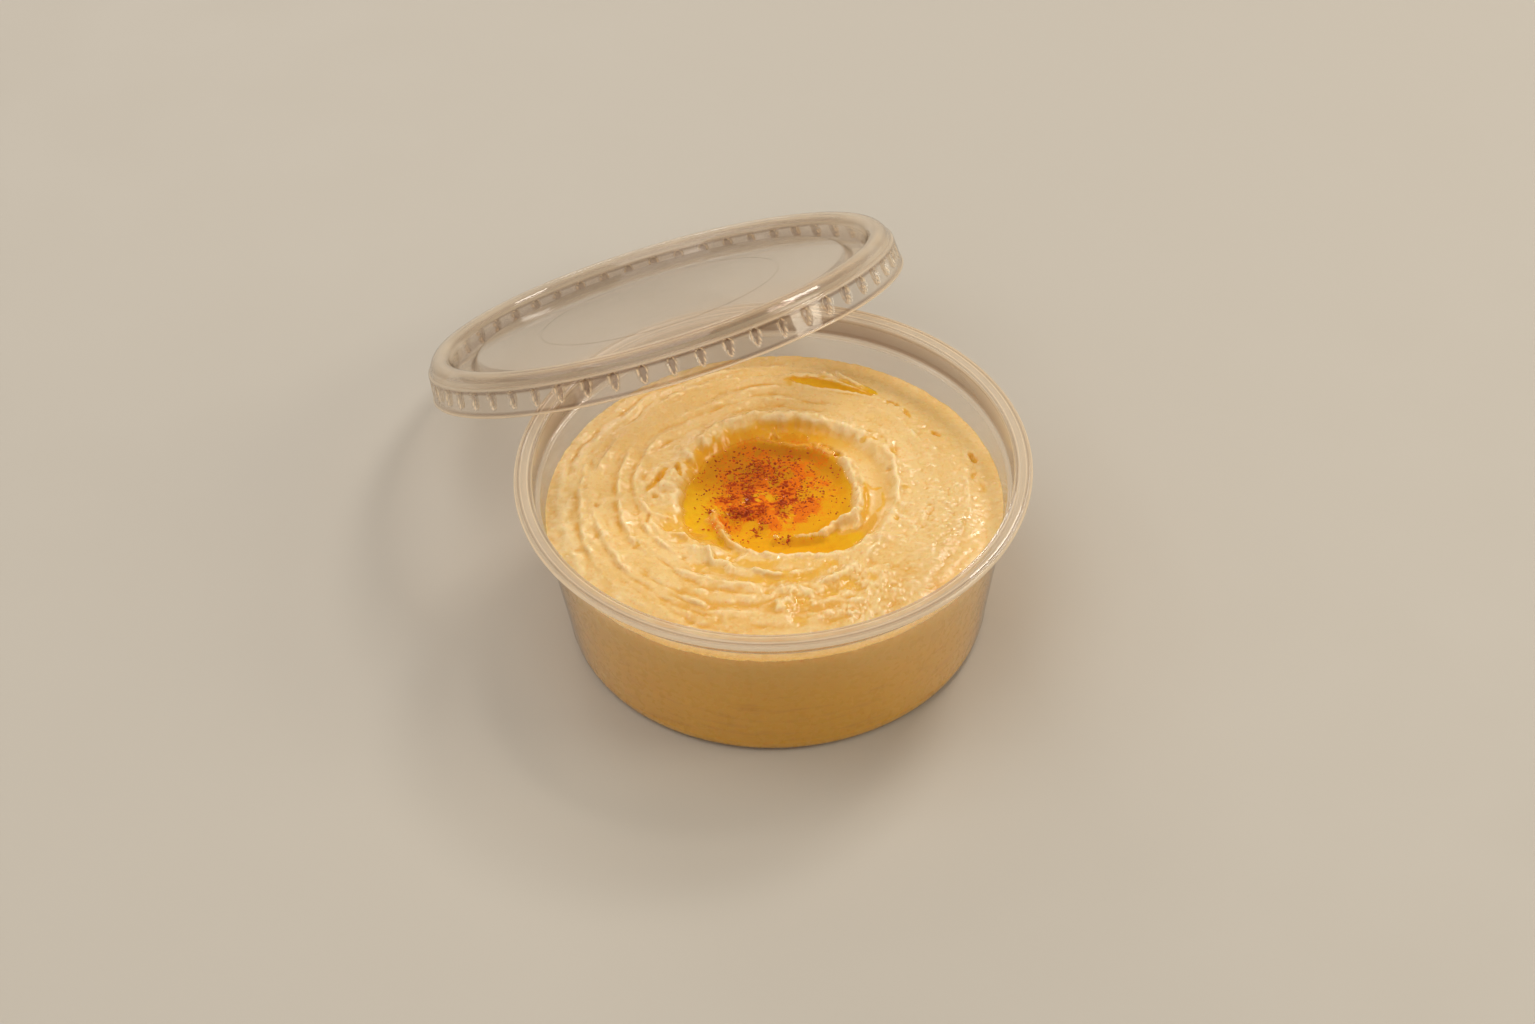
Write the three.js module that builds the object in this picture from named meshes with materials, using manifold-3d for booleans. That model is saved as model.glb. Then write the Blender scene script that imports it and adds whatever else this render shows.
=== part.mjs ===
// Hummus in a round clear deli tub, with a pool of olive oil and paprika in its spooned top.
// The tub's clear lid leans on the rim, its far edge on the surface that the tub stands on.
// Millimetres, +Z up. The origin is the middle of the tub's base, and -Y is the front.
import * as THREE from "three";
import { mergeVertices } from "three/addons/utils/BufferGeometryUtils.js";
import Module from "manifold-3d";

const wasm = await Module();
wasm.setup();

// ---------------------------------------------------------------- driving dimensions
const GAP = 0.3; // clearance kept between two pieces that touch
const ROUND_SIDES = 64; // sides of the tub and the lid

const TUB = {
  rimRadius: 58.5,
  height: 43.0,
  wall: 0.7,
  baseRadius: 48.4, // outside, where the wall meets the base
  baseThickness: 0.9,
  baseFillet: 0.8,
  rimInnerRadius: 54.3,
  rimThickness: 1.4, // depth of the rolled lip at the rim's outer edge
  stepHeight: 36.9, // ledge where the wall widens below the rim
  stepInnerRadius: 52.85,
  stepWidth: 1.25,
};

const LID = {
  skirtRadius: 60.0,
  sheet: 0.6,
  height: 9.9,
  beadOuterRadius: 58.2,
  beadInnerRadius: 52.8,
  shoulderHeight: 6.6, // where the skirt meets the bead
  gutterRadius: 52.2,
  gutterFloor: 4.7, // top of the sunk ring inside the bead
  gutterWidth: 4.0,
  panelTop: 7.0,
  panelRadius: 46.8,
  lean: 28.96, // degrees from level
  heading: 120.1, // compass of the low edge, degrees from +X towards +Y
  sideways: -12.7, // shift of the lid's centre across its heading
  outward: 70.5, // distance of the lid's centre from the tub's axis along its heading
  footClearance: 0.05,
};

const LUGS = {
  count: 54,
  top: 6.3, // height of a lug's blunt end above the skirt's edge
  bottom: 2.0,
  halfWidth: 1.15,
  press: 0.32, // how far a lug is pressed in
};

const HUMMUS = {
  sides: 72,
  rings: 23,
  edgeLevel: 31.0, // where the surface meets the wall
  crown: 1.3, // rise of the surface from the wall inwards
  swirlX: -1.5, // middle of the spoon's swirl
  swirlY: 1.5,
  ridgePitch: 4.6, // distance between spoon ridges
  ridgeHeight: 0.5,
  ridgeStart: 29.0, // swirl radius where the ridges begin
};

const WELL = {
  x: -1.0,
  y: 2.5,
  halfX: 20.3,
  halfY: 21.5,
  floor: 28.3,
  moundX: -4.0, // the floor's low hump under the paprika
  moundY: 0.5,
  moundRadius: 9.5,
  moundTop: 30.0,
};

const OIL = { level: 30.6, slabRadius: 25.0, slabX: 0.5, slabY: 1.5 };

// The narrow split at the back that holds a streak of oil.
const SPLIT = { x: 14.8, y: 39.5, turn: -21, halfLength: 10.5, halfWidth: 1.5, depth: 1.7, top: 32.6 };

const PAPRIKA = { x: -3.5, y: 3.0, spreadX: 8.0, spreadY: 8.5, grains: 28, seed: 11 };

// Ridges and grooves that the spoon left round the well: the points of each path are
// x, y and the surface height there, and width is the path's half-width.
const STROKES = [
  {
    // groove swept from the pool's front, round the right, to the back
    width: 3.4,
    sharpness: 3,
    points: [
      [-7, -11, 29.2],
      [1, -15, 29.0],
      [9, -15.4, 29.1],
      [16, -13.4, 29.6],
      [21.6, -8.5, 30.7],
      [24.2, -1, 31.0],
      [24.2, 7, 31.1],
      [20.6, 14.8, 31.2],
      [14, 20.3, 31.0],
      [6, 23.6, 30.8],
      [0, 23.8, 30.9],
    ],
  },
  {
    // shallow shelf at the pool's left
    width: 4.2,
    sharpness: 3,
    points: [
      [-16.6, 3, 30.0],
      [-17, -3, 30.1],
      [-15.8, -9.5, 30.2],
    ],
  },
  {
    // crest round the back and the right
    width: 2.5,
    sharpness: 2,
    points: [
      [-21.5, 12.5, 32.9],
      [-16, 20.5, 33.3],
      [-8.5, 26.4, 33.8],
      [0, 28.6, 34.0],
      [9, 27.4, 33.9],
      [17, 23.6, 33.7],
      [24, 18.2, 33.5],
      [28.4, 11, 33.4],
      [29.4, 3, 33.2],
      [28.4, -5, 33.1],
      [25.6, -12, 33.2],
      [20.5, -16.6, 33.0],
    ],
  },
  {
    // scalloped crest along the front and the pool's front left
    width: 1.7,
    sharpness: 2,
    points: [
      [20.5, -16.6, 32.8],
      [14, -19.6, 32.3],
      [6, -18.9, 32.1],
      [-1, -18.6, 32.0],
      [-7, -16.4, 31.8],
      [-11.2, -11, 31.7],
      [-13.2, -4.5, 31.4],
    ],
  },
  {
    // inner lip that hooks round the pool's right side
    width: 1.5,
    sharpness: 2,
    points: [
      [1, 21.6, 31.3],
      [8, 19.9, 31.5],
      [14, 16.2, 31.6],
      [17.8, 10.4, 31.7],
      [19.5, 3, 31.9],
      [19.4, -3.6, 32.0],
      [16.6, -8.3, 32.6],
      [11.4, -10.8, 31.7],
      [6, -11.4, 31.2],
      [1, -11.8, 30.4],
    ],
  },
  {
    // lumpy bank at the pool's left
    width: 2.6,
    sharpness: 2,
    points: [
      [-21.5, 12.5, 32.7],
      [-23.6, 6, 32.9],
      [-23.8, -1, 32.7],
      [-22.2, -8, 32.5],
      [-18.2, -14.2, 32.3],
    ],
  },
];

// Low lumps and dips of the crumpled places: x, y, radius, height.
const LUMPS = [
  [3.2, -29.5, 2.6, 0.9],
  [5.4, -33.0, 2.4, 0.8],
  [1.5, -36.0, 2.4, 0.7],
  [16.5, -29.0, 2.8, -0.7],
  [11.5, -31.5, 2.2, -0.6],
  [5.0, -25.6, 2.6, -0.7],
  [-10.0, -18.6, 2.0, -0.7],
  [22.0, -27.0, 3.0, 0.6],
  [33.0, -18.0, 3.2, 0.5],
  [37.0, -2.0, 3.2, 0.4],
  [36.0, 22.0, 2.4, -0.5],
  [46.3, 12.0, 1.9, -0.9],
];

// ---------------------------------------------------------------- helpers
const smooth = (from, to, value) => THREE.MathUtils.smoothstep(value, from, to);
const mix = THREE.MathUtils.lerp;

// A repeatable stream of numbers from 0 to 1.
function seeded(seed) {
  let state = seed;
  return () => {
    state = (state * 1664525 + 1013904223) % 4294967296;
    return state / 4294967296;
  };
}

// A geometry as a manifold-3d solid, its shared vertices merged.
function toSolid(geometry) {
  const plain = geometry.clone();
  plain.deleteAttribute("normal");
  plain.deleteAttribute("uv");
  const merged = mergeVertices(plain, 1e-4);
  return new wasm.Manifold(
    new wasm.Mesh({
      numProp: 3,
      vertProperties: merged.attributes.position.array,
      triVerts: new Uint32Array(merged.index.array),
    }),
  );
}

// A manifold-3d solid as a geometry.
function toGeometry(solid) {
  const mesh = solid.getMesh();
  const geometry = new THREE.BufferGeometry();
  geometry.setAttribute("position", new THREE.BufferAttribute(new Float32Array(mesh.vertProperties), 3));
  geometry.setIndex(new THREE.BufferAttribute(new Uint32Array(mesh.triVerts), 1));
  geometry.computeVertexNormals();
  return geometry;
}

// The largest body of a solid.
function mainBody(solid) {
  return solid.decompose().reduce((best, body) => (body.volume() > best.volume() ? body : best));
}

// A solid of revolution about +Z from an [r, z] section that runs up the outside.
function turned(section, sides) {
  const points = section.map(([r, z]) => new THREE.Vector2(r, z));
  return new THREE.LatheGeometry(points, sides).rotateX(Math.PI / 2);
}

function namedMesh(name, geometry, color, roughness) {
  const material = new THREE.MeshStandardMaterial({ color, roughness, metalness: 0 });
  const mesh = new THREE.Mesh(geometry, material);
  mesh.name = name;
  return mesh;
}

// ---------------------------------------------------------------- tub
// Radius of the lower wall's inner face at a height.
function innerWall(z) {
  const baseInner = TUB.baseRadius - TUB.wall;
  return mix(baseInner, TUB.stepInnerRadius, z / TUB.stepHeight);
}

function tubGeometry() {
  const t = TUB;
  const stepOuter = t.stepInnerRadius + t.wall;
  const upperInner = t.stepInnerRadius + t.stepWidth;
  const lipBottom = t.height - t.rimThickness;
  const outside = [
    [0, 0],
    [t.baseRadius - 1.2, 0],
    [t.baseRadius - 0.35, 0.3],
    [t.baseRadius, 1.0],
    [stepOuter, t.stepHeight - 0.5],
    [upperInner + 0.45, t.stepHeight - 0.05],
    [upperInner + t.wall, t.stepHeight + 0.6],
    [t.rimInnerRadius + t.wall, lipBottom - 0.3],
    [t.rimInnerRadius + 1.2, lipBottom],
    [t.rimRadius - 0.5, lipBottom],
    [t.rimRadius, lipBottom + 0.45],
    [t.rimRadius, t.height - 0.5],
    [t.rimRadius - 0.5, t.height],
  ];
  const inside = [
    [t.rimInnerRadius + 0.5, t.height],
    [t.rimInnerRadius, t.height - 0.4],
    [upperInner, t.stepHeight + 0.35],
    [upperInner - 0.3, t.stepHeight + 0.1],
    [t.stepInnerRadius + 0.1, t.stepHeight - 0.1],
    [innerWall(t.stepHeight - 0.7), t.stepHeight - 0.7],
    [innerWall(t.baseThickness + t.baseFillet), t.baseThickness + t.baseFillet],
    [innerWall(t.baseThickness) - t.baseFillet, t.baseThickness],
    [0, t.baseThickness],
  ];
  return turned([...outside, ...inside], ROUND_SIDES);
}

// ---------------------------------------------------------------- lid
// Section of the lid's thin sheet: along the outside from the skirt's edge to the middle,
// then back along the underside.
function lidSection() {
  const l = LID;
  const s = l.sheet;
  const gutterInner = l.gutterRadius - l.gutterWidth;
  const outside = [
    [l.skirtRadius, 0],
    [l.skirtRadius - 0.3, 0.5],
    [l.skirtRadius - 0.8, l.shoulderHeight - 0.4],
    [l.beadOuterRadius + 0.2, l.shoulderHeight + 0.2],
    [l.beadOuterRadius, l.height - 1.3],
    [l.beadOuterRadius - 0.7, l.height - 0.35],
    [l.beadOuterRadius - 1.8, l.height],
    [l.beadInnerRadius + 1.8, l.height],
    [l.beadInnerRadius + 0.6, l.height - 0.4],
    [l.beadInnerRadius, l.height - 1.3],
    [l.gutterRadius, l.gutterFloor + 0.4],
    [l.gutterRadius - 0.6, l.gutterFloor],
    [gutterInner, l.gutterFloor],
    [l.panelRadius, l.panelTop],
    [0, l.panelTop],
  ];
  const underside = [
    [0, l.panelTop - s],
    [l.panelRadius + 0.35, l.panelTop - s],
    [gutterInner + 0.35, l.gutterFloor - s],
    [l.gutterRadius + 0.2, l.gutterFloor - s],
    [l.beadInnerRadius + s, l.height - 1.5],
    [l.beadInnerRadius + 1.8, l.height - s],
    [l.beadOuterRadius - 1.8, l.height - s],
    [l.beadOuterRadius - s, l.height - 1.5],
    [l.beadOuterRadius - s, l.shoulderHeight + 0.1],
    [l.skirtRadius - 0.8 - s, l.shoulderHeight - 0.6],
    [l.skirtRadius - s, 0],
  ];
  return [...outside, ...underside, outside[0]];
}

// One lug: a drop shape, blunt above and pointed below, centred on the skirt's face.
function lugGeometry(depth) {
  const widest = mix(LUGS.bottom, LUGS.top, 0.66);
  const drop = new THREE.OctahedronGeometry(1);
  const place = drop.attributes.position;
  for (let i = 0; i < place.count; i++) {
    const up = place.getZ(i);
    const reach = up > 0 ? LUGS.top - widest : widest - LUGS.bottom;
    place.setXYZ(i, place.getX(i) * depth, place.getY(i) * LUGS.halfWidth, widest + up * reach);
  }
  return drop;
}

function lidGeometry() {
  let solid = toSolid(turned(lidSection(), ROUND_SIDES));
  const skirtFace = LID.skirtRadius - 0.65;
  const bump = toSolid(lugGeometry(LUGS.press * 1.6));
  const hollow = toSolid(lugGeometry(LUGS.press));
  for (let i = 0; i < LUGS.count; i++) {
    const turn = ((i + 0.5) * 360) / LUGS.count;
    solid = solid.add(bump.translate([skirtFace - LID.sheet, 0, 0]).rotate([0, 0, turn]));
    solid = solid.subtract(hollow.translate([skirtFace, 0, 0]).rotate([0, 0, turn]));
  }
  return toGeometry(solid);
}

// The lid's turned group: its low edge rests on the ground along the heading.
function leaningLid(mesh) {
  const lean = THREE.MathUtils.degToRad(LID.lean);
  const heading = THREE.MathUtils.degToRad(LID.heading);
  const tilted = new THREE.Group();
  tilted.rotation.y = lean;
  const rise = LID.skirtRadius * Math.sin(lean) + LID.footClearance;
  tilted.position.set(LID.outward, LID.sideways, rise);
  tilted.add(mesh);
  const placed = new THREE.Group();
  placed.rotation.z = heading;
  placed.add(tilted);
  return placed;
}

// ---------------------------------------------------------------- hummus
const strokePaths = STROKES.map((stroke) => {
  const nodes = stroke.points.map(([x, y, z]) => new THREE.Vector3(x, y, z));
  return { ...stroke, samples: new THREE.CatmullRomCurve3(nodes).getPoints(nodes.length * 6) };
});

// Pulls a height towards a stroke's own level, fully on its path and not at all beyond it.
function applyStroke(stroke, x, y, height) {
  let nearest = Infinity;
  let level = height;
  for (const p of stroke.samples) {
    const d = Math.hypot(p.x - x, p.y - y);
    if (d < nearest) {
      nearest = d;
      level = p.z;
    }
  }
  return mix(height, level, Math.exp(-Math.pow(nearest / stroke.width, stroke.sharpness)));
}

// Sideways drift of the ridges round the swirl, in ridge pitches.
function ridgeDrift(angle) {
  return 0.3 * Math.sin(angle + 0.6) + 0.18 * Math.sin(2 * angle + 1.9);
}

// Height of the hummus at a swirl radius and angle, and its x and y.
function surfaceHeight(swirl, angle, x, y) {
  const h = HUMMUS;
  const wallRadius = innerWall(h.edgeLevel) - GAP;
  const inward = 1 - swirl / wallRadius;
  let z = h.edgeLevel + h.crown * smooth(0, 0.25, inward);
  const leftShare = 0.6 - 0.4 * Math.cos(angle);
  const zone = smooth(h.ridgeStart, h.ridgeStart + 3, swirl) * smooth(0, 0.08, inward);
  const phase = 2 * Math.PI * (swirl / h.ridgePitch - ridgeDrift(angle));
  z += h.ridgeHeight * leftShare * zone * Math.cos(phase);
  const reach = Math.hypot((x - WELL.x) / WELL.halfX, (y - WELL.y) / WELL.halfY);
  const moundReach = Math.hypot(x - WELL.moundX, y - WELL.moundY) / WELL.moundRadius;
  const floor = mix(WELL.moundTop, WELL.floor, smooth(0.2, 1.1, moundReach));
  z = mix(z, floor, 1 - smooth(0.78, 1.08, reach));
  for (const stroke of strokePaths) z = applyStroke(stroke, x, y, z);
  for (const [lx, ly, radius, height] of LUMPS) {
    const d = Math.hypot(x - lx, y - ly) / radius;
    z += height * Math.exp(-d * d);
  }
  return z;
}

// The hummus as a turned solid whose top rings carry the relief, raised by lift.
function hummusSolid(lift) {
  const h = HUMMUS;
  const wallRadius = innerWall(h.edgeLevel) - GAP;
  const floorZ = TUB.baseThickness + GAP;
  const body = [
    [0, floorZ],
    [innerWall(floorZ) - TUB.baseFillet - 0.5, floorZ],
    [innerWall(floorZ + 1.2) - GAP, floorZ + 1.2],
    [wallRadius, h.edgeLevel],
  ];
  const top = [];
  for (let i = h.rings - 1; i >= 0; i--) top.push([(wallRadius * i) / h.rings, h.edgeLevel]);
  const geometry = turned([...body, ...top], h.sides);
  const place = geometry.attributes.position;
  for (let i = 0; i < place.count; i++) {
    if (place.getZ(i) < h.edgeLevel - 0.01) continue;
    const ring = Math.hypot(place.getX(i), place.getY(i));
    const angle = Math.atan2(place.getY(i), place.getX(i));
    const inward = 1 - ring / wallRadius;
    const middle = smooth(0, 0.12, inward) * smooth(10, h.ridgeStart, ring);
    const swirl = ring + h.ridgePitch * ridgeDrift(angle) * middle;
    const x = swirl * Math.cos(angle) + h.swirlX * inward;
    const y = swirl * Math.sin(angle) + h.swirlY * inward;
    place.setXYZ(i, x, y, surfaceHeight(swirl, angle, x, y) + lift);
  }
  return toSolid(geometry);
}

// A boat-shaped solid along the split at the back, shrunk by inset.
function splitSolid(inset, top) {
  const boat = new THREE.SphereGeometry(1, 14, 8);
  boat.scale(SPLIT.halfLength - 2 * inset, SPLIT.halfWidth - inset, SPLIT.depth - inset);
  const placed = toSolid(boat).rotate([0, 0, SPLIT.turn]).translate([SPLIT.x, SPLIT.y, SPLIT.top]);
  if (top === undefined) return placed;
  const half = new THREE.BoxGeometry(40, 40, 10).translate(SPLIT.x, SPLIT.y, top - 5);
  return placed.intersect(toSolid(half));
}

// ---------------------------------------------------------------- oil and paprika
// Grains and clumps of paprika: flat lumps that lie half sunk in the oil's face.
function paprikaGrains() {
  const random = seeded(PAPRIKA.seed);
  const clumps = [
    [-7.2, -1.8, 2.7, 1.7],
    [2.0, 0.2, 1.2, 1.7],
    [-5.4, 3.2, 1.3, 2.4],
    [-2.6, -5.4, 1.1, 0.9],
    [-6.5, 10.8, 2.0, 1.2],
    [-1.2, 14.6, 1.6, 1.0],
    [5.6, 3.2, 1.2, 1.4],
    [-12.5, 8.2, 1.2, 0.9],
  ];
  const grains = clumps.map(([x, y, a, b]) => [x, y, a, b, random() * Math.PI]);
  for (let i = 0; i < PAPRIKA.grains; i++) {
    const turn = i * 2.399963;
    const out = Math.sqrt((i + 0.5) / PAPRIKA.grains) * 1.55;
    const x = PAPRIKA.x + PAPRIKA.spreadX * out * Math.cos(turn) + random() - 0.5;
    const y = PAPRIKA.y + PAPRIKA.spreadY * out * Math.sin(turn) + random() - 0.5;
    const size = 0.45 + 0.35 * random();
    grains.push([x, y, size, size * (0.6 + 0.4 * random()), random() * Math.PI]);
  }
  return grains.map(([x, y, a, b, turn]) => {
    const grain = new THREE.IcosahedronGeometry(1, 0);
    grain.scale(a, b, 0.3).rotateZ(turn).translate(x, y, OIL.level);
    return toSolid(grain);
  });
}

// The pool fills the well up to the oil's level, and the paprika is joined to its face.
function oilPoolGeometry(raisedHummus) {
  const slabHeight = 6;
  const slab = new THREE.CylinderGeometry(OIL.slabRadius, OIL.slabRadius, slabHeight, 40);
  slab.rotateX(Math.PI / 2).translate(OIL.slabX, OIL.slabY, OIL.level - slabHeight / 2);
  let pool = mainBody(toSolid(slab).subtract(raisedHummus));
  for (const grain of paprikaGrains()) {
    const inPool = pool.intersect(grain).volume() > 0.4 * grain.volume();
    if (inPool) pool = pool.add(grain);
  }
  return toGeometry(mainBody(pool.subtract(raisedHummus)));
}

// ---------------------------------------------------------------- the whole part
const hummus = hummusSolid(0).subtract(splitSolid(0));
const raisedHummus = hummusSolid(GAP);
const streakLevel = SPLIT.top - 0.35;

const root = new THREE.Group();
root.add(namedMesh("tub", tubGeometry(), "#d9d2c8", 0.15));
root.add(namedMesh("hummus", toGeometry(mainBody(hummus)), "#e6bb7a", 0.55));
root.add(namedMesh("olive_oil", oilPoolGeometry(raisedHummus), "#dc9408", 0.05));
root.add(namedMesh("oil_streak", toGeometry(splitSolid(GAP, streakLevel)), "#cb8805", 0.05));
root.add(leaningLid(namedMesh("lid", lidGeometry(), "#e4ddd6", 0.12)));

export default root;
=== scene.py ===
"""Tub of spooned hummus with olive oil and paprika, its clear lid leaning on the rim.

Lengths in the classes are millimetres in the model's frame (+Z up, the origin in the middle of the tub's
base, -Y the front), and meshes are written in metres.
"""

import logging
import math
from dataclasses import dataclass, field
from enum import Enum
from typing import Any, Optional, Sequence

import bpy
import numpy as np
from mathutils import Matrix, Vector


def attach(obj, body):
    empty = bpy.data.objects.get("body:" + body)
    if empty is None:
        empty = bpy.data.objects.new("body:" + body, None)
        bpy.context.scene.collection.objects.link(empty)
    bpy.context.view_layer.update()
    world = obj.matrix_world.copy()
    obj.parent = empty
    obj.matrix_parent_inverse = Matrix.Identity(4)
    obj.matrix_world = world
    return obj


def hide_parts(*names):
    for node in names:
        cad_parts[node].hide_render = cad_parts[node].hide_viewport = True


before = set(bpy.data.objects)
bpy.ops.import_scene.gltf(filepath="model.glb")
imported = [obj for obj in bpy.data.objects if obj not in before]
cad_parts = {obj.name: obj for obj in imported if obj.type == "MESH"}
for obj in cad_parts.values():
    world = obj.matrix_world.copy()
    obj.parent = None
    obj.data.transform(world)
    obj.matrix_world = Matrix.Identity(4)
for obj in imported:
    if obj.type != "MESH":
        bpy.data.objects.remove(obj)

LOG = logging.getLogger("hummus")
MM = 0.001

Array = np.ndarray


class Tone(Enum):
    """Colours of the food and the plastic, as sRGB hex."""

    PASTE = "#e6c07b"
    # paler paste: uneven mixing, and also the painted highlight on high places
    PASTE_PALE = "#f2d8a3"
    PASTE_DEEP = "#e0b466"
    # painted shade: the darker, more golden colour painted into low and steep places
    PAINTED_CREVICE_SHADE = "#dca23c"
    # paste against the wall: partly wet paste, partly painted shade on the side and under the rim
    PASTE_AT_WALL_AND_SHADE = "#e7b13c"
    WALL_SHADE = "#d2962c"
    WET_PASTE = "#e3b04a"
    OIL_FILM = "#e4a526"
    OIL_SHALLOW = "#e8bd22"
    OIL_DEEP = "#e9b204"
    # painted shade of the oil at the back of the pool and in the split
    OIL_PAINTED_SHADE = "#c98a12"
    OIL_TINT = "#fff7d2"
    PAPRIKA_STAIN = "#eb8208"
    PAPRIKA_CLOUD = "#b43c02"
    FLAKE_BRIGHT = "#e2640a"
    FLAKE_DARK = "#9c3607"
    PLASTIC_HAZE = "#faead0"
    # tint of the sheet seen edge on, and of the painted dark lines where it bends
    PLASTIC_EDGE = "#ac917c"
    PLASTIC_SHEET = "#fbf9f7"
    FLOOR = "#bab2a6"


# ------------------------------------------------------------------ numbers and fields


def linear(tone: Tone) -> tuple[float, float, float, float]:
    """Turns a tone's sRGB hex into linear light.

    Args:
        tone: The colour.

    Returns:
        Red, green, blue and an alpha of 1.
    """
    text = tone.value.lstrip("#")
    channels = [int(text[i : i + 2], 16) / 255 for i in (0, 2, 4)]
    red, green, blue = (c / 12.92 if c <= 0.04045 else ((c + 0.055) / 1.055) ** 2.4 for c in channels)
    return (red, green, blue, 1.0)


def ease(low: float, high: float, value: Array) -> Array:
    """Rises smoothly from 0 at low to 1 at high: 3t^2 - 2t^3 of the clipped share t.

    Args:
        low: Where it starts.
        high: Where it is full.
        value: The values to read.

    Returns:
        The eased shares.
    """
    t = np.clip((value - low) / (high - low), 0, 1)
    return t * t * (3 - 2 * t)


def mix(a: Array, b: Array, share: Array) -> Array:
    """Blends a into b by share."""
    return a + (b - a) * share


def bell(value: Array, middle: float, width: float) -> Array:
    """A bell, 1 high at middle: exp(-((value - middle) / width)^2)."""
    return np.exp(-(((value - middle) / width) ** 2))


def patch(x: Array, y: Array, place: Sequence[float], power: float = 1.0) -> Array:
    """A soft oval patch: exp(-d^power), with d the squared distance from its middle counted in its radii.

    Args:
        x: Places across.
        y: Places front to back.
        place: x and y of the middle, and the radii along x and along y.
        power: How flat the patch is and how suddenly it ends.

    Returns:
        The patch, 0 to 1.
    """
    cx, cy, rx, ry = place
    return np.exp(-((((x - cx) / rx) ** 2 + ((y - cy) / ry) ** 2) ** power))


def strongest(x: Array, y: Array, places: Sequence[Sequence[float]], power: float) -> Array:
    """The strongest of several soft patches; each row is x, y, the two radii and the strength."""
    return np.max([strength * patch(x, y, place, power) for *place, strength in places], axis=0)


def lattice(x: Array, y: Array, seed: int) -> Array:
    """Smooth noise: a random number at each lattice point, blended between them by 6t^5 - 15t^4 + 10t^3.

    Args:
        x: First coordinates.
        y: Second coordinates.
        seed: Picks the random numbers.

    Returns:
        Noise from -1 to 1.
    """
    x0, y0 = np.floor(x).astype(np.int64), np.floor(y).astype(np.int64)
    fx, fy = x - x0, y - y0
    u = fx**3 * (fx * (fx * 6 - 15) + 10)
    v = fy**3 * (fy * (fy * 6 - 15) + 10)

    def corner(ix: Array, iy: Array) -> Array:
        """The random number of one lattice point, from a hash of its place."""
        h = (ix * 374761393 + iy * 668265263 + seed * 1442695041) & 0xFFFFFFFF
        h = ((h ^ (h >> 13)) * 1274126177) & 0xFFFFFFFF
        return ((h ^ (h >> 16)) & 0xFFFF) / 32767.5 - 1.0

    low = mix(corner(x0, y0), corner(x0 + 1, y0), u)
    high = mix(corner(x0, y0 + 1), corner(x0 + 1, y0 + 1), u)
    return mix(low, high, v)


def cloud(x: Array, y: Array, seed: int, octaves: int = 4) -> Array:
    """Sum of octaves of lattice noise, each twice as fine, half as strong and turned against the last.

    Args:
        x: First coordinates, in units of the coarsest lump.
        y: Second coordinates.
        seed: Picks the noise.
        octaves: How many layers.

    Returns:
        Noise, roughly from -1 to 1.
    """
    total, weight = np.zeros_like(x), 0.0
    for k in range(octaves):
        c, s, f = math.cos(1.3 * k), math.sin(1.3 * k), 2.0**k
        total = total + lattice(f * (c * x - s * y), f * (s * x + c * y), seed + 17 * k) / f
        weight += 1 / f
    return total / weight


def soften(grid: Array, times: int) -> Array:
    """Smooths a grid of heights: each point becomes the mean of its four neighbours, so many times over.

    Args:
        grid: The heights.
        times: How often.

    Returns:
        The smoothed heights.
    """
    for _ in range(times):
        padded = np.pad(grid, 1, mode="edge")
        grid = (padded[:-2, 1:-1] + padded[2:, 1:-1] + padded[1:-1, :-2] + padded[1:-1, 2:]) / 4
    return grid


def smooth_path(points: Sequence[Sequence[float]], per_span: int = 6) -> Array:
    """Carries a Catmull-Rom curve through points: each span is the cubic that turns with its neighbours.

    Args:
        points: The points, all with the same number of coordinates.
        per_span: Steps in each span.

    Returns:
        The curve's points, one row each.
    """
    p = np.array(points, float)
    if len(p) < 3:
        t = np.linspace(0, 1, per_span + 1)[:, None]
        return p[0] + (p[-1] - p[0]) * t
    q = np.vstack([2 * p[0] - p[1], p, 2 * p[-1] - p[-2]])
    t = np.linspace(0, 1, per_span, endpoint=False)[None, :, None]
    a, b, c, d = (q[i : len(q) - 3 + i, None, :] for i in range(4))
    spans = 0.5 * (2 * b + (c - a) * t + (2 * a - 5 * b + 4 * c - d) * t**2 + (3 * b - a - 3 * c + d) * t**3)
    return np.vstack([spans.reshape(-1, p.shape[1]), p[-1:]])


def nearest_on_path(x: Array, y: Array, path: Array) -> tuple[Array, Array, Array]:
    """Signed distance to a path, and where along it the nearest point lies.

    Args:
        x: First coordinates.
        y: Second coordinates.
        path: The path's points; the first two columns are x and y.

    Returns:
        The distance (positive on the path's left), the share of the path's length, and the path's third
        column there, or zeros.
    """
    spans = np.diff(path[:, :2], axis=0)
    lengths = np.hypot(spans[:, 0], spans[:, 1])
    reached = np.concatenate([[0], np.cumsum(lengths)]) / lengths.sum()
    best = np.full(x.shape, np.inf)
    side, share, level = np.zeros_like(x), np.zeros_like(x), np.zeros_like(x)
    for k, (sx, sy) in enumerate(spans):
        px, py = x - path[k, 0], y - path[k, 1]
        t = np.clip((px * sx + py * sy) / max(lengths[k] ** 2, 1e-12), 0, 1)
        far = np.hypot(px - t * sx, py - t * sy)
        hit = far < best
        best = np.where(hit, far, best)
        side = np.where(hit, np.sign(sx * py - sy * px), side)
        share = np.where(hit, mix(reached[k], reached[k + 1], t), share)
        if path.shape[1] > 2:
            level = np.where(hit, mix(path[k, 2], path[k + 1, 2], t), level)
    return best * np.where(side < 0, -1.0, 1.0), share, level


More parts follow.
